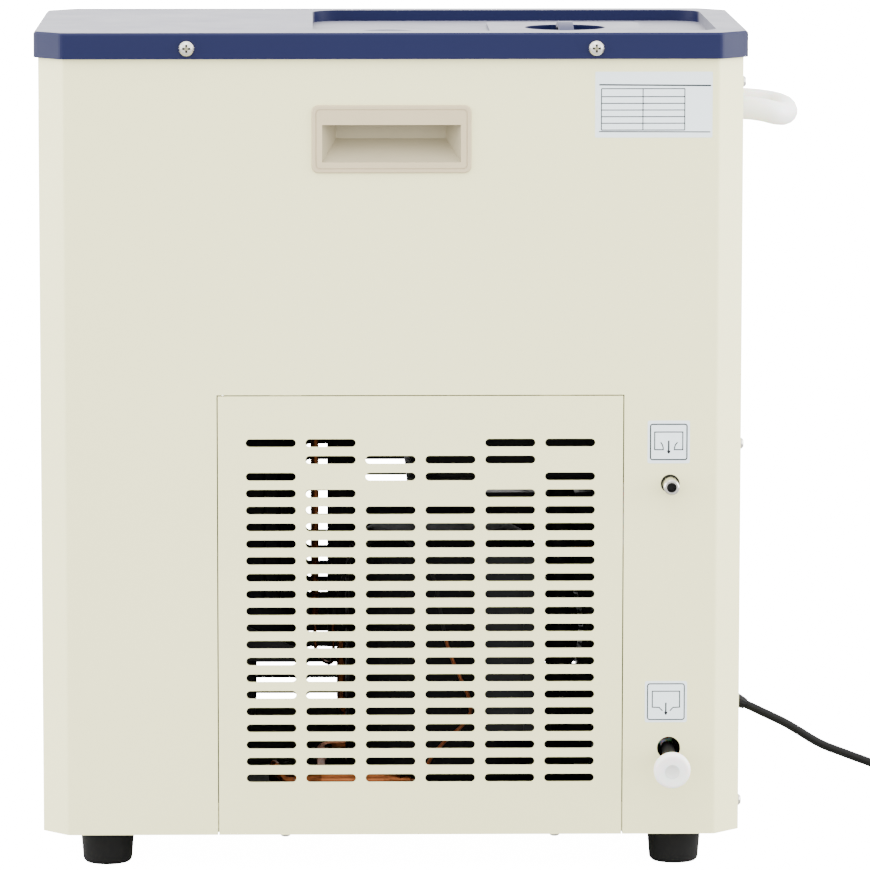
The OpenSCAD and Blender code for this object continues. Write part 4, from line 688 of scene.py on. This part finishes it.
def tube_curve(
    name: str, route: Sequence[Point], width: float, finish: Finish, body: str
) -> bpy.types.Object:
    """Makes a round tube along a smooth open curve.

    Args:
        name: The piece's name.
        route: Points in metres that the centre-line passes through.
        width: Diameter in metres.
        finish: The tube's finish.
        body: The CAD body that it moves with.

    Returns:
        The curve object.
    """
    curve = bpy.data.curves.new(name, "CURVE")
    curve.dimensions = "3D"
    curve.bevel_depth = width / 2
    curve.bevel_resolution = TUBE_STEPS
    curve.resolution_u = TUBE_STEPS
    curve.use_fill_caps = True
    line = curve.splines.new("BEZIER")
    line.bezier_points.add(len(route) - 1)
    for handle, point in zip(line.bezier_points, route):
        handle.co = Vector(point)
        handle.handle_left_type = "AUTO"
        handle.handle_right_type = "AUTO"
    curve.materials.append(PAINTS.of(finish))
    return settle(bpy.data.objects.new(name, curve), body)


def rounded_outline(width: float, height: float, radius: float) -> list[Flat]:
    """Returns the outline of a rounded rectangle about the origin.

    Args:
        width: Its full width.
        height: Its full height.
        radius: Its corner radius.

    Returns:
        Points in order, anticlockwise.
    """
    points: list[Flat] = []
    for turn, (sx, sy) in enumerate(((1, 1), (-1, 1), (-1, -1), (1, -1))):
        for step in range(CORNER_STEPS + 1):
            angle = math.radians(90 * turn + 90 * step / CORNER_STEPS)
            points.append(
                (
                    sx * (width / 2 - radius) + radius * math.cos(angle),
                    sy * (height / 2 - radius) + radius * math.sin(angle),
                )
            )
    return points


# The studio


@dataclass(frozen=True)
class SoftBox:
    """One soft box that faces the cabinet."""

    name: str
    at: Point
    size: Flat
    watts: float
    aim: Point = (0.0, 0.0, 0.4)

    def hang(self) -> None:
        """Hangs the soft box in the room."""
        data = bpy.data.lights.new(self.name, "AREA")
        data.shape = "RECTANGLE"
        data.size, data.size_y = self.size
        data.energy = self.watts
        light = bpy.data.objects.new(self.name, data)
        light.location = self.at
        light.rotation_euler = (Vector(self.aim) - Vector(self.at)).to_track_quat("-Z", "Y").to_euler()
        bpy.context.scene.collection.objects.link(light)


@dataclass
class Studio:
    """Camera, floor and lights for the photograph's view."""

    camera_at: Point = (-0.0621, -4.640, 0.9637)
    tilt_down: float = 0.1308
    yaw_right: float = 0.0138
    lens_mm: float = 244.92
    sensor_mm: float = 36.0
    shift: Flat = (0.05, -0.0466)
    clip: Flat = (0.1, 60.0)
    floor_size: float = 14.0
    floor_tone: Colour = linear(170, 170, 170)
    floor_shade: Colour = linear(166, 166, 166)
    floor_roughness: float = 0.6
    floor_spread: Flat = (0.0, 0.1)
    floor_glow: float = 0.6
    sky: float = 4.3
    backdrop: float = 26.0
    boxes: Sequence[SoftBox] = (
        SoftBox("left_light", (-3.0, -0.3, 1.1), (2.4, 2.2), 118),
        SoftBox("right_light", (3.0, -0.3, 1.1), (2.4, 2.2), 150),
        SoftBox("top_light", (-0.4, -1.6, 3.4), (2.0, 2.0), 40),
    )

    def make_camera(self) -> None:
        """Sets the camera where the photograph was taken from."""
        data = bpy.data.cameras.new("camera")
        data.lens = self.lens_mm
        data.sensor_width = self.sensor_mm
        data.shift_x, data.shift_y = self.shift
        data.clip_start, data.clip_end = self.clip
        camera = bpy.data.objects.new("camera", data)
        camera.location = self.camera_at
        camera.rotation_euler = (math.pi / 2 - self.tilt_down, 0.0, -self.yaw_right)
        bpy.context.scene.collection.objects.link(camera)
        bpy.context.scene.camera = camera

    def make_floor(self) -> None:
        """Lays a plain pale floor."""
        half = self.floor_size / 2
        corners = [(-half, -half, 0), (half, -half, 0), (half, half, 0), (-half, half, 0)]
        mesh = bpy.data.meshes.new("floor")
        mesh.from_pydata(corners, [], [(0, 1, 2, 3)])
        made = Weave("floor_paper")
        peel = made.group(Effect.PEEL, Ripple=200.0, Drift=0.6)
        made.feed(made.blend(peel.outputs["Tone"], self.floor_tone, self.floor_shade), "Base Color")
        made.gloss(peel.outputs["Haze"], self.floor_roughness, self.floor_spread)
        seen = made.tree.nodes.new("ShaderNodeLightPath")
        made.feed(made.blend(seen.outputs["Is Camera Ray"], BLACK, WHITE), "Emission Color")
        made.plain("Emission Strength", self.backdrop * self.floor_glow)
        mesh.materials.append(made.material)
        floor = bpy.data.objects.new("floor", mesh)
        bpy.context.scene.collection.objects.link(floor)

    def make_sky(self) -> None:
        """Fills the room with even white light, in front of a burnt-out white backdrop."""
        world = bpy.data.worlds.new("room")
        world.use_nodes = True
        tree = world.node_tree
        light, backdrop = tree.nodes["Background"], tree.nodes.new("ShaderNodeBackground")
        for shader, strength in ((light, self.sky), (backdrop, self.backdrop)):
            shader.inputs["Color"].default_value = rgba(WHITE)
            shader.inputs["Strength"].default_value = strength
        seen = tree.nodes.new("ShaderNodeLightPath")
        choice = tree.nodes.new("ShaderNodeMixShader")
        tree.links.new(seen.outputs["Is Camera Ray"], choice.inputs[0])
        tree.links.new(light.outputs[0], choice.inputs[1])
        tree.links.new(backdrop.outputs[0], choice.inputs[2])
        tree.links.new(choice.outputs[0], tree.nodes["World Output"].inputs["Surface"])
        bpy.context.scene.world = world

    def make(self) -> None:
        """Builds the whole studio."""
        self.make_camera()
        self.make_floor()
        self.make_sky()
        for box in self.boxes:
            box.hang()


# Cords


@dataclass
class MainsLead:
    """The mains lead: out of the gland, down to the floor, into a coil and its plug."""

    width: float = 0.007
    gland_tip: Point = (0.290, 0.080, 0.0892)
    down: Sequence[Point] = (
        (290.4, 80, 89), (296, 80, 86.4), (303, 80, 83), (312, 80, 78.7), (321, 80, 74.3), (333, 80, 67.3),
        (346, 80, 59.2), (356, 80, 54.2), (366, 80, 50.4), (378, 80, 45.8), (392, 80, 40.6), (404, 80, 35.3),
        (416, 80, 28.7), (428, 80, 21), (439, 80, 13.6), (449, 80, 8), (458, 79.4, 4.8), (468, 76.8, 3.7),
        (477.5, 72, 3.6), (486, 65.2, 3.6), (493.6, 57.4, 3.6),
    )
    coil_middle: Flat = (450, 20)
    entry_turn: float = 57.4
    entry_angle: float = 40.6
    coil_angle: float = -40.0
    angle_step: float = 18.0
    climb: float = 60.0
    upper_turns: int = 2
    outer_turn: float = 49.75
    inner_turn: float = 32.0
    pitch: float = 7.1
    lower_z: float = 3.6
    upper_z: float = 10.7
    to_plug: Sequence[Point] = (
        (481, -21, 9.8), (472, -33.5, 6.6), (466.5, -42, 4.9), (461.5, -52, 4.6), (458, -62, 6.6),
        (456.4, -71, 10.8), (456, -79, 15.6), (456, -85.6, 18.3), (456, -90, 18.7),
    )
    tie_reach: float = 4.4
    tie_top: float = 4.5
    tie_foot: float = 0.2
    tie_corner: float = 3.5
    tie_half: float = 3.5
    tie_band: float = 0.9

    def _at(self, degrees: float, radius: float, height: float) -> Point:
        """Finds a point of the coil.

        Args:
            degrees: Its angle about the coil's middle.
            radius: How far it is from there, in millimetres.
            height: Its height, in millimetres.

        Returns:
            The point in millimetres.
        """
        angle = math.radians(degrees)
        return (
            self.coil_middle[0] + radius * math.cos(angle),
            self.coil_middle[1] + radius * math.sin(angle),
            height,
        )

    def route(self) -> list[Point]:
        """Returns the whole centre-line in metres."""
        points: list[Point] = list(self.down)
        for share in (0.33, 0.66):
            angle = self.entry_angle + (self.coil_angle - self.entry_angle) * share
            radius = self.entry_turn + (self.outer_turn - self.entry_turn) * share
            points.append(self._at(angle, radius, self.lower_z))
        lower_turns = (self.outer_turn - self.inner_turn) / self.pitch
        count = round(lower_turns * 360 / self.angle_step)
        for k in range(count + 1):
            radius = self.outer_turn + (self.inner_turn - self.outer_turn) * k / count
            points.append(self._at(self.coil_angle - self.angle_step * k, radius, self.lower_z))
        climb_from = self.coil_angle - self.angle_step * count
        for share in (0.25, 0.5, 0.75):
            height = self.lower_z + (self.upper_z - self.lower_z) * (3 * share**2 - 2 * share**3)
            points.append(self._at(climb_from - self.climb * share, self.inner_turn, height))
        start = climb_from - self.climb
        degrees = (start - self.coil_angle) % 360 + 360 * self.upper_turns
        count = round(degrees / self.angle_step)
        for k in range(count + 1):
            turned = degrees * k / count
            radius = self.inner_turn + self.pitch * turned / 360
            points.append(self._at(start - turned, radius, self.upper_z))
        points.extend(self.to_plug)
        return [tuple(c * MM for c in p) for p in points]

    def make(self) -> None:
        """Builds the lead and its tie."""
        route = self.route()
        rubber = FINISHES["cord_rubber"]
        lead = tube_curve("mains_lead", route, self.width, rubber, MAIN_BODY)
        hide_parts("mains_cord", "cord_coil")
        tie = self.make_tie()

    def make_tie(self) -> bpy.types.Object:
        """Returns a narrow band round the coil's turns."""
        middle = Vector((self.coil_middle[0], self.coil_middle[1], 0)) * MM
        radial_from = self.inner_turn - self.tie_reach
        radial_to = self.outer_turn + self.tie_reach
        top = self.upper_z + self.tie_top
        profile = rounded_outline(radial_to - radial_from, top - self.tie_foot, self.tie_corner)
        centre_radius = (radial_from + radial_to) / 2
        centre_height = (top + self.tie_foot) / 2
        half, band = self.tie_half, self.tie_band
        points: list[Point] = []
        for offset, inset in ((-half, 0.0), (half, 0.0), (half, band), (-half, band)):
            grow = 1 - 2 * inset / (radial_to - radial_from)
            points.extend(
                (
                    middle.x + (centre_radius + x * grow) * MM,
                    middle.y + offset * MM,
                    max(self.tie_foot, centre_height + z * grow) * MM,
                )
                for x, z in profile
            )
        n = len(profile)
        faces: list[tuple[int, ...]] = []
        for ring in range(4):
            here, there = ring * n, (ring + 1) % 4 * n
            faces.extend(
                (here + k, here + (k + 1) % n, there + (k + 1) % n, there + k) for k in range(n)
            )
        return new_mesh("coil_tie", points, faces, [FINISHES["cord_rubber"]], MAIN_BODY)


@dataclass
class LoopHose:
    """The short hose that joins the two ports behind the cabinet."""

    width: float = 0.018
    centre: Sequence[Point] = (
        (273.3, -42, 583.7), (280, -42, 583.4), (286, -42, 582.7), (292, -42, 581.7), (298, -41.2, 580.1),
        (302.6, -38.2, 578.9), (306.2, -32.8, 578.3), (309, -25, 578.1), (310.8, -15, 578.1),
        (312, -4, 578.2), (312.7, 8, 578.4), (312.8, 18, 578.8), (311.8, 26.6, 579.4), (309.2, 33.8, 580.2),
        (304.8, 38.8, 581.1), (298.6, 41.4, 582), (292, 42, 582.8), (286, 42, 583.3), (280, 42, 583.6),
        (273.3, 42, 583.7),
    )

    def make(self) -> None:
        """Builds the hose, straight over each barb."""
        route = [tuple(c * MM for c in point) for point in self.centre]
        hose = tube_curve("port_loop_hose", route, self.width, FINISHES["silicone"], MAIN_BODY)
        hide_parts("loop_hose")


# Labels


@dataclass
class Label:
    """A printed film label on the near side of the casing."""

    name: str
    middle: Flat
    width: float
    height: float
    corner: float = 1.5
    film: float = 0.12
    print_lift: float = 0.05
    face_y: float = -0.140
    lines: list[tuple[Sequence[Flat], float, bool]] = field(default_factory=list)
    solids: list[Sequence[Flat]] = field(default_factory=list)
    mitre_limit: float = 0.5

    def line(self, points: Sequence[Flat], width: float, closed: bool = False) -> None:
        """Adds a printed line, in millimetres about the label's middle."""
        self.lines.append((points, width, closed))

    def solid(self, outline: Sequence[Flat]) -> None:
        """Adds a printed shape that is filled with ink."""
        self.solids.append(outline)

    def _strip(
        self, path: Sequence[Flat], width: float, closed: bool
    ) -> tuple[list[Flat], list[tuple[int, ...]]]:
        """Turns a line into a flat strip with mitred corners.

        Args:
            path: The line's points.
            width: The strip's width.
            closed: Whether the last point joins the first.

        Returns:
            The strip's points and its faces.
        """
        corners = [Vector(p) for p in path]
        n = len(corners)
        outline: list[Flat] = []
        for i, here in enumerate(corners):
            before = corners[i - 1] if (i > 0 or closed) else None
            after = corners[(i + 1) % n] if (i < n - 1 or closed) else None
            ways = [(here - before).normalized()] if before is not None else []
            if after is not None:
                ways.append((after - here).normalized())
            mean = sum(ways, Vector((0.0, 0.0)))
            mean = mean.normalized() if mean.length > 1e-6 else ways[0]
            side = Vector((-mean.y, mean.x))
            spread = max(self.mitre_limit, side.dot(Vector((-ways[0].y, ways[0].x))))
            for sign in (1, -1):
                p = here + side * (sign * width / 2 / spread)
                outline.append((p.x, p.y))
        faces = []
        for i in range(n if closed else n - 1):
            a, b = 2 * i, 2 * ((i + 1) % n)
            faces.append((a, a + 1, b + 1, b))
        return outline, faces

    def make(self) -> None:
        """Builds the film and its print as one piece."""
        outline = rounded_outline(self.width, self.height, self.corner)
        n = len(outline)
        points: list[Point] = []
        faces: list[tuple[int, ...]] = []
        marks: list[int] = []

        def place(x: float, z: float, lift: float) -> Point:
            """Returns a point of the label in metres."""
            return ((self.middle[0] + x) * MM, self.face_y - lift * MM, (self.middle[1] + z) * MM)

        for lift in (0.0, self.film):
            points.extend(place(x, z, lift) for x, z in outline)
        faces.append(tuple(range(n, 2 * n)))
        marks.append(0)
        for k in range(n):
            faces.append((k, (k + 1) % n, n + (k + 1) % n, n + k))
            marks.append(0)
        for path, width, closed in self.lines:
            strip, quads = self._strip(path, width, closed)
            base = len(points)
            points.extend(place(x, z, self.film + self.print_lift) for x, z in strip)
            for quad in quads:
                faces.append(tuple(base + i for i in quad))
                marks.append(1)
        for shape in self.solids:
            base = len(points)
            points.extend(place(x, z, self.film + self.print_lift) for x, z in shape)
            faces.append(tuple(range(base, base + len(shape))))
            marks.append(1)
        new_mesh(
            self.name, points, faces, [LABEL_FILM, LABEL_INK], MAIN_BODY, marks, smooth=False
        )


def arrow(label: Label, top: float, tip: float, shaft: float) -> None:
    """Prints an arrow that points down, on the label's middle line.

    Args:
        label: The label that carries it.
        top: Where its shaft starts.
        tip: Where its point is.
        shaft: The width of its shaft.
    """
    head_length, shoulder_height, spread = 2.6, 0.7, 1.25
    head, shoulder = tip + head_length, tip + shoulder_height
    half = shaft * spread
    label.line([(0.0, top), (0.0, head)], shaft)
    label.solid([(-half, head), (-half / 2, shoulder), (0.0, tip), (half / 2, shoulder), (half, head)])


@dataclass
class Labels:
    """The three labels of the near side, with their frames and arrows."""

    overflow_at: Flat = (213.0, 334.5)
    drain_at: Flat = (212.0, 131.9)
    rating_at: Flat = (200.1, 594.2)

    def make_overflow(self) -> None:
        """Builds the label over the overflow nozzle."""
        label = Label("overflow_label", self.overflow_at, 32.6, 33.2)
        label.line(rounded_outline(28.0, 27.4, 1.6), 1.0, closed=True)
        label.line(
            [
                (-6.2, -0.2), (-4.9, -2.2), (-4.3, -4.2), (-4.2, -6.0), (-10.8, -6.0), (-10.8, 7.7),
                (10.8, 7.7), (10.8, -6.0), (4.4, -6.0), (4.5, -4.2), (5.2, -2.2), (6.8, -0.2),
            ],
            0.85,
        )
        arrow(label, 1.1, -9.3, 1.2)
        label.make()

    def make_drain(self) -> None:
        """Builds the label over the drain."""
        label = Label("drain_label", self.drain_at, 32.6, 32.4)
        label.line(rounded_outline(28.4, 28.0, 1.8), 0.85, closed=True)
        label.line(
            [
                (-2.6, -7.2), (-5.2, -4.5), (-10.5, -4.3), (-10.5, 8.2), (10.6, 8.2), (10.6, -4.3),
                (5.6, -4.5), (3.1, -7.2),
            ],
            0.8,
        )
        arrow(label, -0.8, -10.6, 1.1)
        label.make()

    def make_rating(self) -> None:
        """Builds the rating label with its ruled table."""
        label = Label("rating_label", self.rating_at, 89.6, 50.4, corner=0.8)
        label.line([(-41.8, 15.2), (43.6, 14.6)], 1.15)
        label.line([(-41.8, -20.6), (43.2, -20.9)], 0.8)
        left, right, split = -40.0, 23.6, -8.3
        rows = (12.2, 6.1, 1.0, -4.1, -9.2, -14.2, -19.4)
        for z in rows:
            label.line([(left, z), (right, z)], 0.75)
        for x in (left, split, right):
            label.line([(x, rows[0]), (x, rows[-1])], 0.75)
        label.make()

    def make(self) -> None:
        """Builds every label."""
        self.make_overflow()
        self.make_drain()
        self.make_rating()


# Small pieces


def spokes(way: Vector, side: Vector, count: int) -> list[Vector]:
    """Finds evenly spread directions about a line.

    Args:
        way: The line's direction.
        side: The first direction, square to the line.
        count: How many there are.

    Returns:
        The directions in order.
    """
    up = way.cross(side)
    angles = [2 * math.pi * k / count for k in range(count)]
    return [side * math.cos(angle) + up * math.sin(angle) for angle in angles]


def lathe(
    name: str,
    profile: Sequence[Flat],
    base: Point,
    along: Point,
    finish: Finish,
    body: str = MAIN_BODY,
) -> None:
    """Turns a profile about a line.

    Args:
        name: The piece's name.
        profile: Pairs of radius and distance along the line, in millimetres.
        base: Where the line starts, in millimetres.
        along: The line's direction.
        finish: The piece's finish.
        body: The CAD body that it moves with.
    """
    way = Vector(along).normalized()
    points: list[Point] = []
    for out in spokes(way, way.orthogonal().normalized(), LATHE_SIDES):
        points.extend(tuple((Vector(base) + way * z + out * r) * MM) for r, z in profile)
    n = len(profile)
    faces: list[tuple[int, ...]] = []
    for k in range(LATHE_SIDES):
        here, there = k * n, ((k + 1) % LATHE_SIDES) * n
        faces.extend((here + i, there + i, there + i + 1, here + i + 1) for i in range(n - 1))
    new_mesh(name, points, faces, [finish], body)


@dataclass
class SmallPieces:
    """Pins, sleeves and a conduit that the solids leave plain, with painted shade in the nozzle's bore, the
    drain plug's dimple and the rim screws' recesses.
    """

    nozzle_at: Flat = (214.3, 302.0)
    nozzle_face: float = -161.0
    bore_shade_profile: Sequence[Flat] = (
        (0.0, 9.0), (3.4, 9.0), (3.55, 8.0), (3.6, 1.4), (3.75, 1.0), (3.78, 1.2), (3.78, 9.4), (0.0, 9.4),
    )
    plug_at: Point = (456.0, -98.3, 18.7)
    pin_offset: float = 9.5
    pin: Sequence[Flat] = ((2.45, 33.0), (2.45, 50.2), (2.1, 51.3), (1.2, 52.1), (0.0, 52.3))
    screw_x: float = 156.0
    screw_z: float = 637.6
    screw_y: float = 143.5
    screw_head: float = 12.4
    cross_arm: float = 0.25
    cross_half: float = 0.065
    cross_floor: float = 0.17
    cross_overlap: float = 0.02
    tile_lift: float = 0.06
    shadow_length: float = 1.7
    tile: float = 0.1
    drain_at: Point = (214.3, -140.0, 91.6)
    drain_droop: float = 6.0
    dimple: float = 48.75
    dimple_shade_profile: Sequence[Flat] = (
        (0.0, 0.0), (0.0, 0.12), (2.2, 0.14), (3.6, 0.34), (4.9, 1.12), (5.6, 1.32), (5.5, 1.16), (4.9, 0.98),
    )
    conduit: Sequence[Point] = (
        (104, -95, 108), (108, -86, 102), (116, -72, 99), (126, -52, 104), (131.5, -30, 114),
        (134, -16, 130), (135, -11, 152), (135, -12, 180), (135, -15, 210), (135, -16, 240),
        (135, -16, 270), (135, -16, 301.4),
    )
    rib_step: float = 1.6
    rib_radii: Sequence[float] = (12.0, 11.0, 10.8, 11.8)
    conduit_sides: int = 20

    def nozzle_bore_shade(self) -> None:
        """Builds the painted shade in the nozzle's bore, a dark sleeve inside it."""
        base = (self.nozzle_at[0], self.nozzle_face, self.nozzle_at[1])
        lathe("nozzle_bore_shade", self.bore_shade_profile, base, (0, 1, 0), BORE_SHADE)

    def plug_pins(self) -> None:
        """Builds the bright sleeves over the plug's two pins."""
        for number, side in enumerate((-1, 1), start=1):
            base = (self.plug_at[0] + side * self.pin_offset, self.plug_at[1], self.plug_at[2])
            lathe(f"plug_pin_{number}", self.pin, base, (0, -1, 0), FINISHES["brass"])

    def screw_recesses(self) -> None:
        """Builds each rim screw's cross: its bottom a cream darkened as painted shade in the recess, its
        arms' ends painted shadow.
        """
        arm = self.screw_head * self.cross_arm + self.cross_overlap
        half = self.screw_head * self.cross_half + self.cross_overlap
        depth = self.screw_y + self.screw_head * self.cross_floor + self.tile_lift
        # Each arm carries the painted shadow from here to its end
        stain = arm - self.shadow_length
        tiles = [(-half, half, -half, half, 0)]
        for near, far, mark in ((half, stain, 0), (stain, arm, 1)):
            tiles += [
                (near, far, -half, half, mark), (-far, -near, -half, half, mark),
                (-half, half, near, far, mark), (-half, half, -far, -near, mark),
            ]
        points: list[Point] = []
        faces: list[tuple[int, ...]] = []
        marks: list[int] = []
        screws = [(sx, sy) for sx in (-1, 1) for sy in (-1, 1)]
        for sx, sy in screws:
            for x0, x1, z0, z1, mark in tiles:
                base = len(points)
                for lift in (0.0, self.tile):
                    points.extend(
                        ((sx * self.screw_x + x) * MM, sy * (depth + lift) * MM, (self.screw_z + z) * MM)
                        for x, z in ((x0, z0), (x1, z0), (x1, z1), (x0, z1))
                    )
                faces.append(tuple(range(base, base + 4)))
                faces.append(tuple(range(base + 4, base + 8)))
                faces.extend(
                    (base + k, base + (k + 1) % 4, base + 4 + (k + 1) % 4, base + 4 + k) for k in range(4)
                )
                marks.extend([mark] * 6)
        finishes = [RECESS, RECESS_SHADOW]
        new_mesh("screw_recesses", points, faces, finishes, MAIN_BODY, marks, smooth=False)

    def plug_dimple_shade(self) -> None:
        """Builds the painted shade in the drain plug's dimple, a grey disc on its face."""
        droop = math.radians(self.drain_droop)
        out = Vector((0.0, -math.cos(droop), -math.sin(droop)))
        base = Vector(self.drain_at) + out * self.dimple
        lathe("plug_dimple_shade", self.dimple_shade_profile, tuple(base), tuple(out), DIMPLE_SHADE, "plug")

    def _conduit_rings(self) -> list[tuple[Vector, Vector]]:
        """Returns the middle and the direction of each ring of the conduit."""
        route = [Vector(point) for point in self.conduit]
        rings: list[tuple[Vector, Vector]] = []
        for start, end in zip(route, route[1:]):
            way = (end - start).normalized()
            steps = max(1, round((end - start).length / self.rib_step))
            rings.extend((start.lerp(end, k / steps), way) for k in range(steps))
        rings.append((route[-1], (route[-1] - route[-2]).normalized()))
        return rings

    def compressor_lead(self) -> None:
        """Builds the ribbed conduit that brings the compressor's wires down from the deck."""
        rings = self._conduit_rings()
        sides, smoothing, last = self.conduit_sides, 3, len(rings) - 1
        points: list[Point] = []
        for number, (at, way) in enumerate(rings):
            ahead = rings[min(number + smoothing, last)][1] + rings[max(number - smoothing, 0)][1] + way
            ahead.normalize()
            side = ahead.cross(Vector((1, 0.4, 0))).normalized()
            radius = self.rib_radii[number % len(self.rib_radii)]
            points.extend(tuple((at + out * radius) * MM) for out in spokes(ahead, side, sides))
        faces: list[tuple[int, ...]] = []
        for base in range(0, last * sides, sides):
            for k in range(sides):
                a, b = base + k, base + (k + 1) % sides
                faces.append((a, b, b + sides, a + sides))
        for base in (0, last * sides):
            faces.append(tuple(range(base, base + sides)))
        new_mesh("compressor_lead", points, faces, [SLEEVE], MAIN_BODY)

    def make(self) -> None:
        """Builds all small pieces."""
        self.compressor_lead()
        self.nozzle_bore_shade()
        self.plug_pins()
        self.screw_recesses()
        self.plug_dimple_shade()


# Putting it together


@dataclass(frozen=True)
class FaceRule:
    """A second finish for those faces of a CAD node that a test picks.

    The test is given a face's middle in millimetres and its outward direction.
    """

    node: str
    finish: Finish
    picks: Callable[[Vector, Vector], bool]


# A face looks inward where its direction times its place is below these
INWARD_X, INWARD_Y = -150, -90
# Places of the faces, in millimetres
SLEEVE_FROM = 180
DISH_X, DISH_REACH, DISH_LEVELS = -1, 21, (600, 641)
LID_X, GRIP_HALF, LID_LEVEL = 138, 9.5, 630
CUP_RIM = 138.5
NOZZLE_SEAT = -141.5
# Directions of the faces
UPRIGHT, SIDEWAYS, LEVEL, FLAT_TOP = 0.3, 0.5, 0.9, 0.99999


def looks_inward(at: Vector, out: Vector) -> bool:
    """Tells whether an upright face looks at the cabinet's middle."""
    return abs(out.z) < UPRIGHT and (out.x * at.x < INWARD_X or out.y * at.y < INWARD_Y)


def in_tray_dish(at: Vector, out: Vector) -> bool:
    """Tells whether a face belongs to the shallow dish in the tray's floor."""
    return math.hypot(at.x - DISH_X, at.y) < DISH_REACH and DISH_LEVELS[0] < at.z < DISH_LEVELS[1]


def on_grip(at: Vector, out: Vector) -> bool:
    """Tells whether a face belongs to the bowed grip, and not to the lid's flat top."""
    near = abs(at.x - LID_X) < GRIP_HALF and at.z > LID_LEVEL
    return near and abs(out.x) < SIDEWAYS and out.z < FLAT_TOP


def inside_cup(at: Vector, out: Vector) -> bool:
    """Tells whether a face lies behind the rim of a hand cup."""
    return abs(at.y) < CUP_RIM


FACE_RULES: tuple[FaceRule, ...] = (
    # Faces that look into the cabinet, the base tray's upward faces and the cover's underside get painted
    # shade
    FaceRule("casing_shell", INSIDE_SHADE, looks_inward),
    FaceRule("vent_panel_near", INSIDE_SHADE, looks_inward),
    FaceRule("vent_panel_far", INSIDE_SHADE, looks_inward),
    FaceRule("back_panel", INSIDE_SHADE, looks_inward),
    FaceRule("base_tray", INSIDE_SHADE, lambda at, out: out.z > LEVEL or looks_inward(at, out)),
    FaceRule("top_cover", INSIDE_SHADE, lambda at, out: out.z < -LEVEL),
    FaceRule("capillary", DARKER_COPPER, lambda at, out: at.z <= SLEEVE_FROM),
    FaceRule("capillary", SLEEVE, lambda at, out: at.z > SLEEVE_FROM),
    # The tray's dish and the lid's grip get the darker cover paint as painted shade
    FaceRule("top_cover", SHADED_COVER, in_tray_dish),
    FaceRule("tank_lid", SHADED_COVER, on_grip),
    FaceRule("hand_cup_near", CUP_SHADE, inside_cup),
    FaceRule("hand_cup_far", CUP_SHADE, inside_cup),
    # The nozzle's faces behind the casing's face get painted shade, darkening the hole round it
    FaceRule("overflow_nozzle", INSIDE_SHADE, lambda at, out: at.y > NOZZLE_SEAT),
    FaceRule("drain_tube", FINISHES["hose_rubber"], lambda at, out: True),
)


@dataclass
class CadFinishes:
    """Gives each CAD node the finish of its record slot, and some faces a second one."""

    record: dict[str, Any]
    nodes: dict[str, bpy.types.Object]

    def apply(self, rule: FaceRule) -> None:
        """Gives some faces of a node their second finish.

        Args:
            rule: The rule that picks the faces.
        """
        piece = self.nodes[rule.node]
        piece.data.materials.append(PAINTS.of(rule.finish))
        number = len(piece.data.materials) - 1
        turn = piece.matrix_world.to_3x3()
        count = 0
        for face in piece.data.polygons:
            if rule.picks(piece.matrix_world @ face.center / MM, (turn @ face.normal).normalized()):
                face.material_index = number
                count += 1
        LOG.info("gave %d faces of %s the finish %s", count, rule.node, rule.finish.name)

    def make(self) -> None:
        """Dresses every CAD node."""
        slot_of = {part["node"]: part["material_slot"] for part in self.record["subparts"]}
        for node, piece in self.nodes.items():
            finish = FINISHES[slot_of[node]]
            piece.data.materials.clear()
            piece.data.materials.append(PAINTS.of(finish))
            LOG.info("dressed %s with %s", node, finish.name)
        for rule in FACE_RULES:
            self.apply(rule)


def main() -> None:
    """Builds the scene in order."""
    logging.basicConfig(level=logging.INFO, format="%(name)s: %(message)s")
    Studio().make()
    MainsLead().make()
    LoopHose().make()
    CadFinishes(frame["record"], frame["nodes"]).make()
    Labels().make()
    SmallPieces().make()


if __name__ == "__main__":
    main()
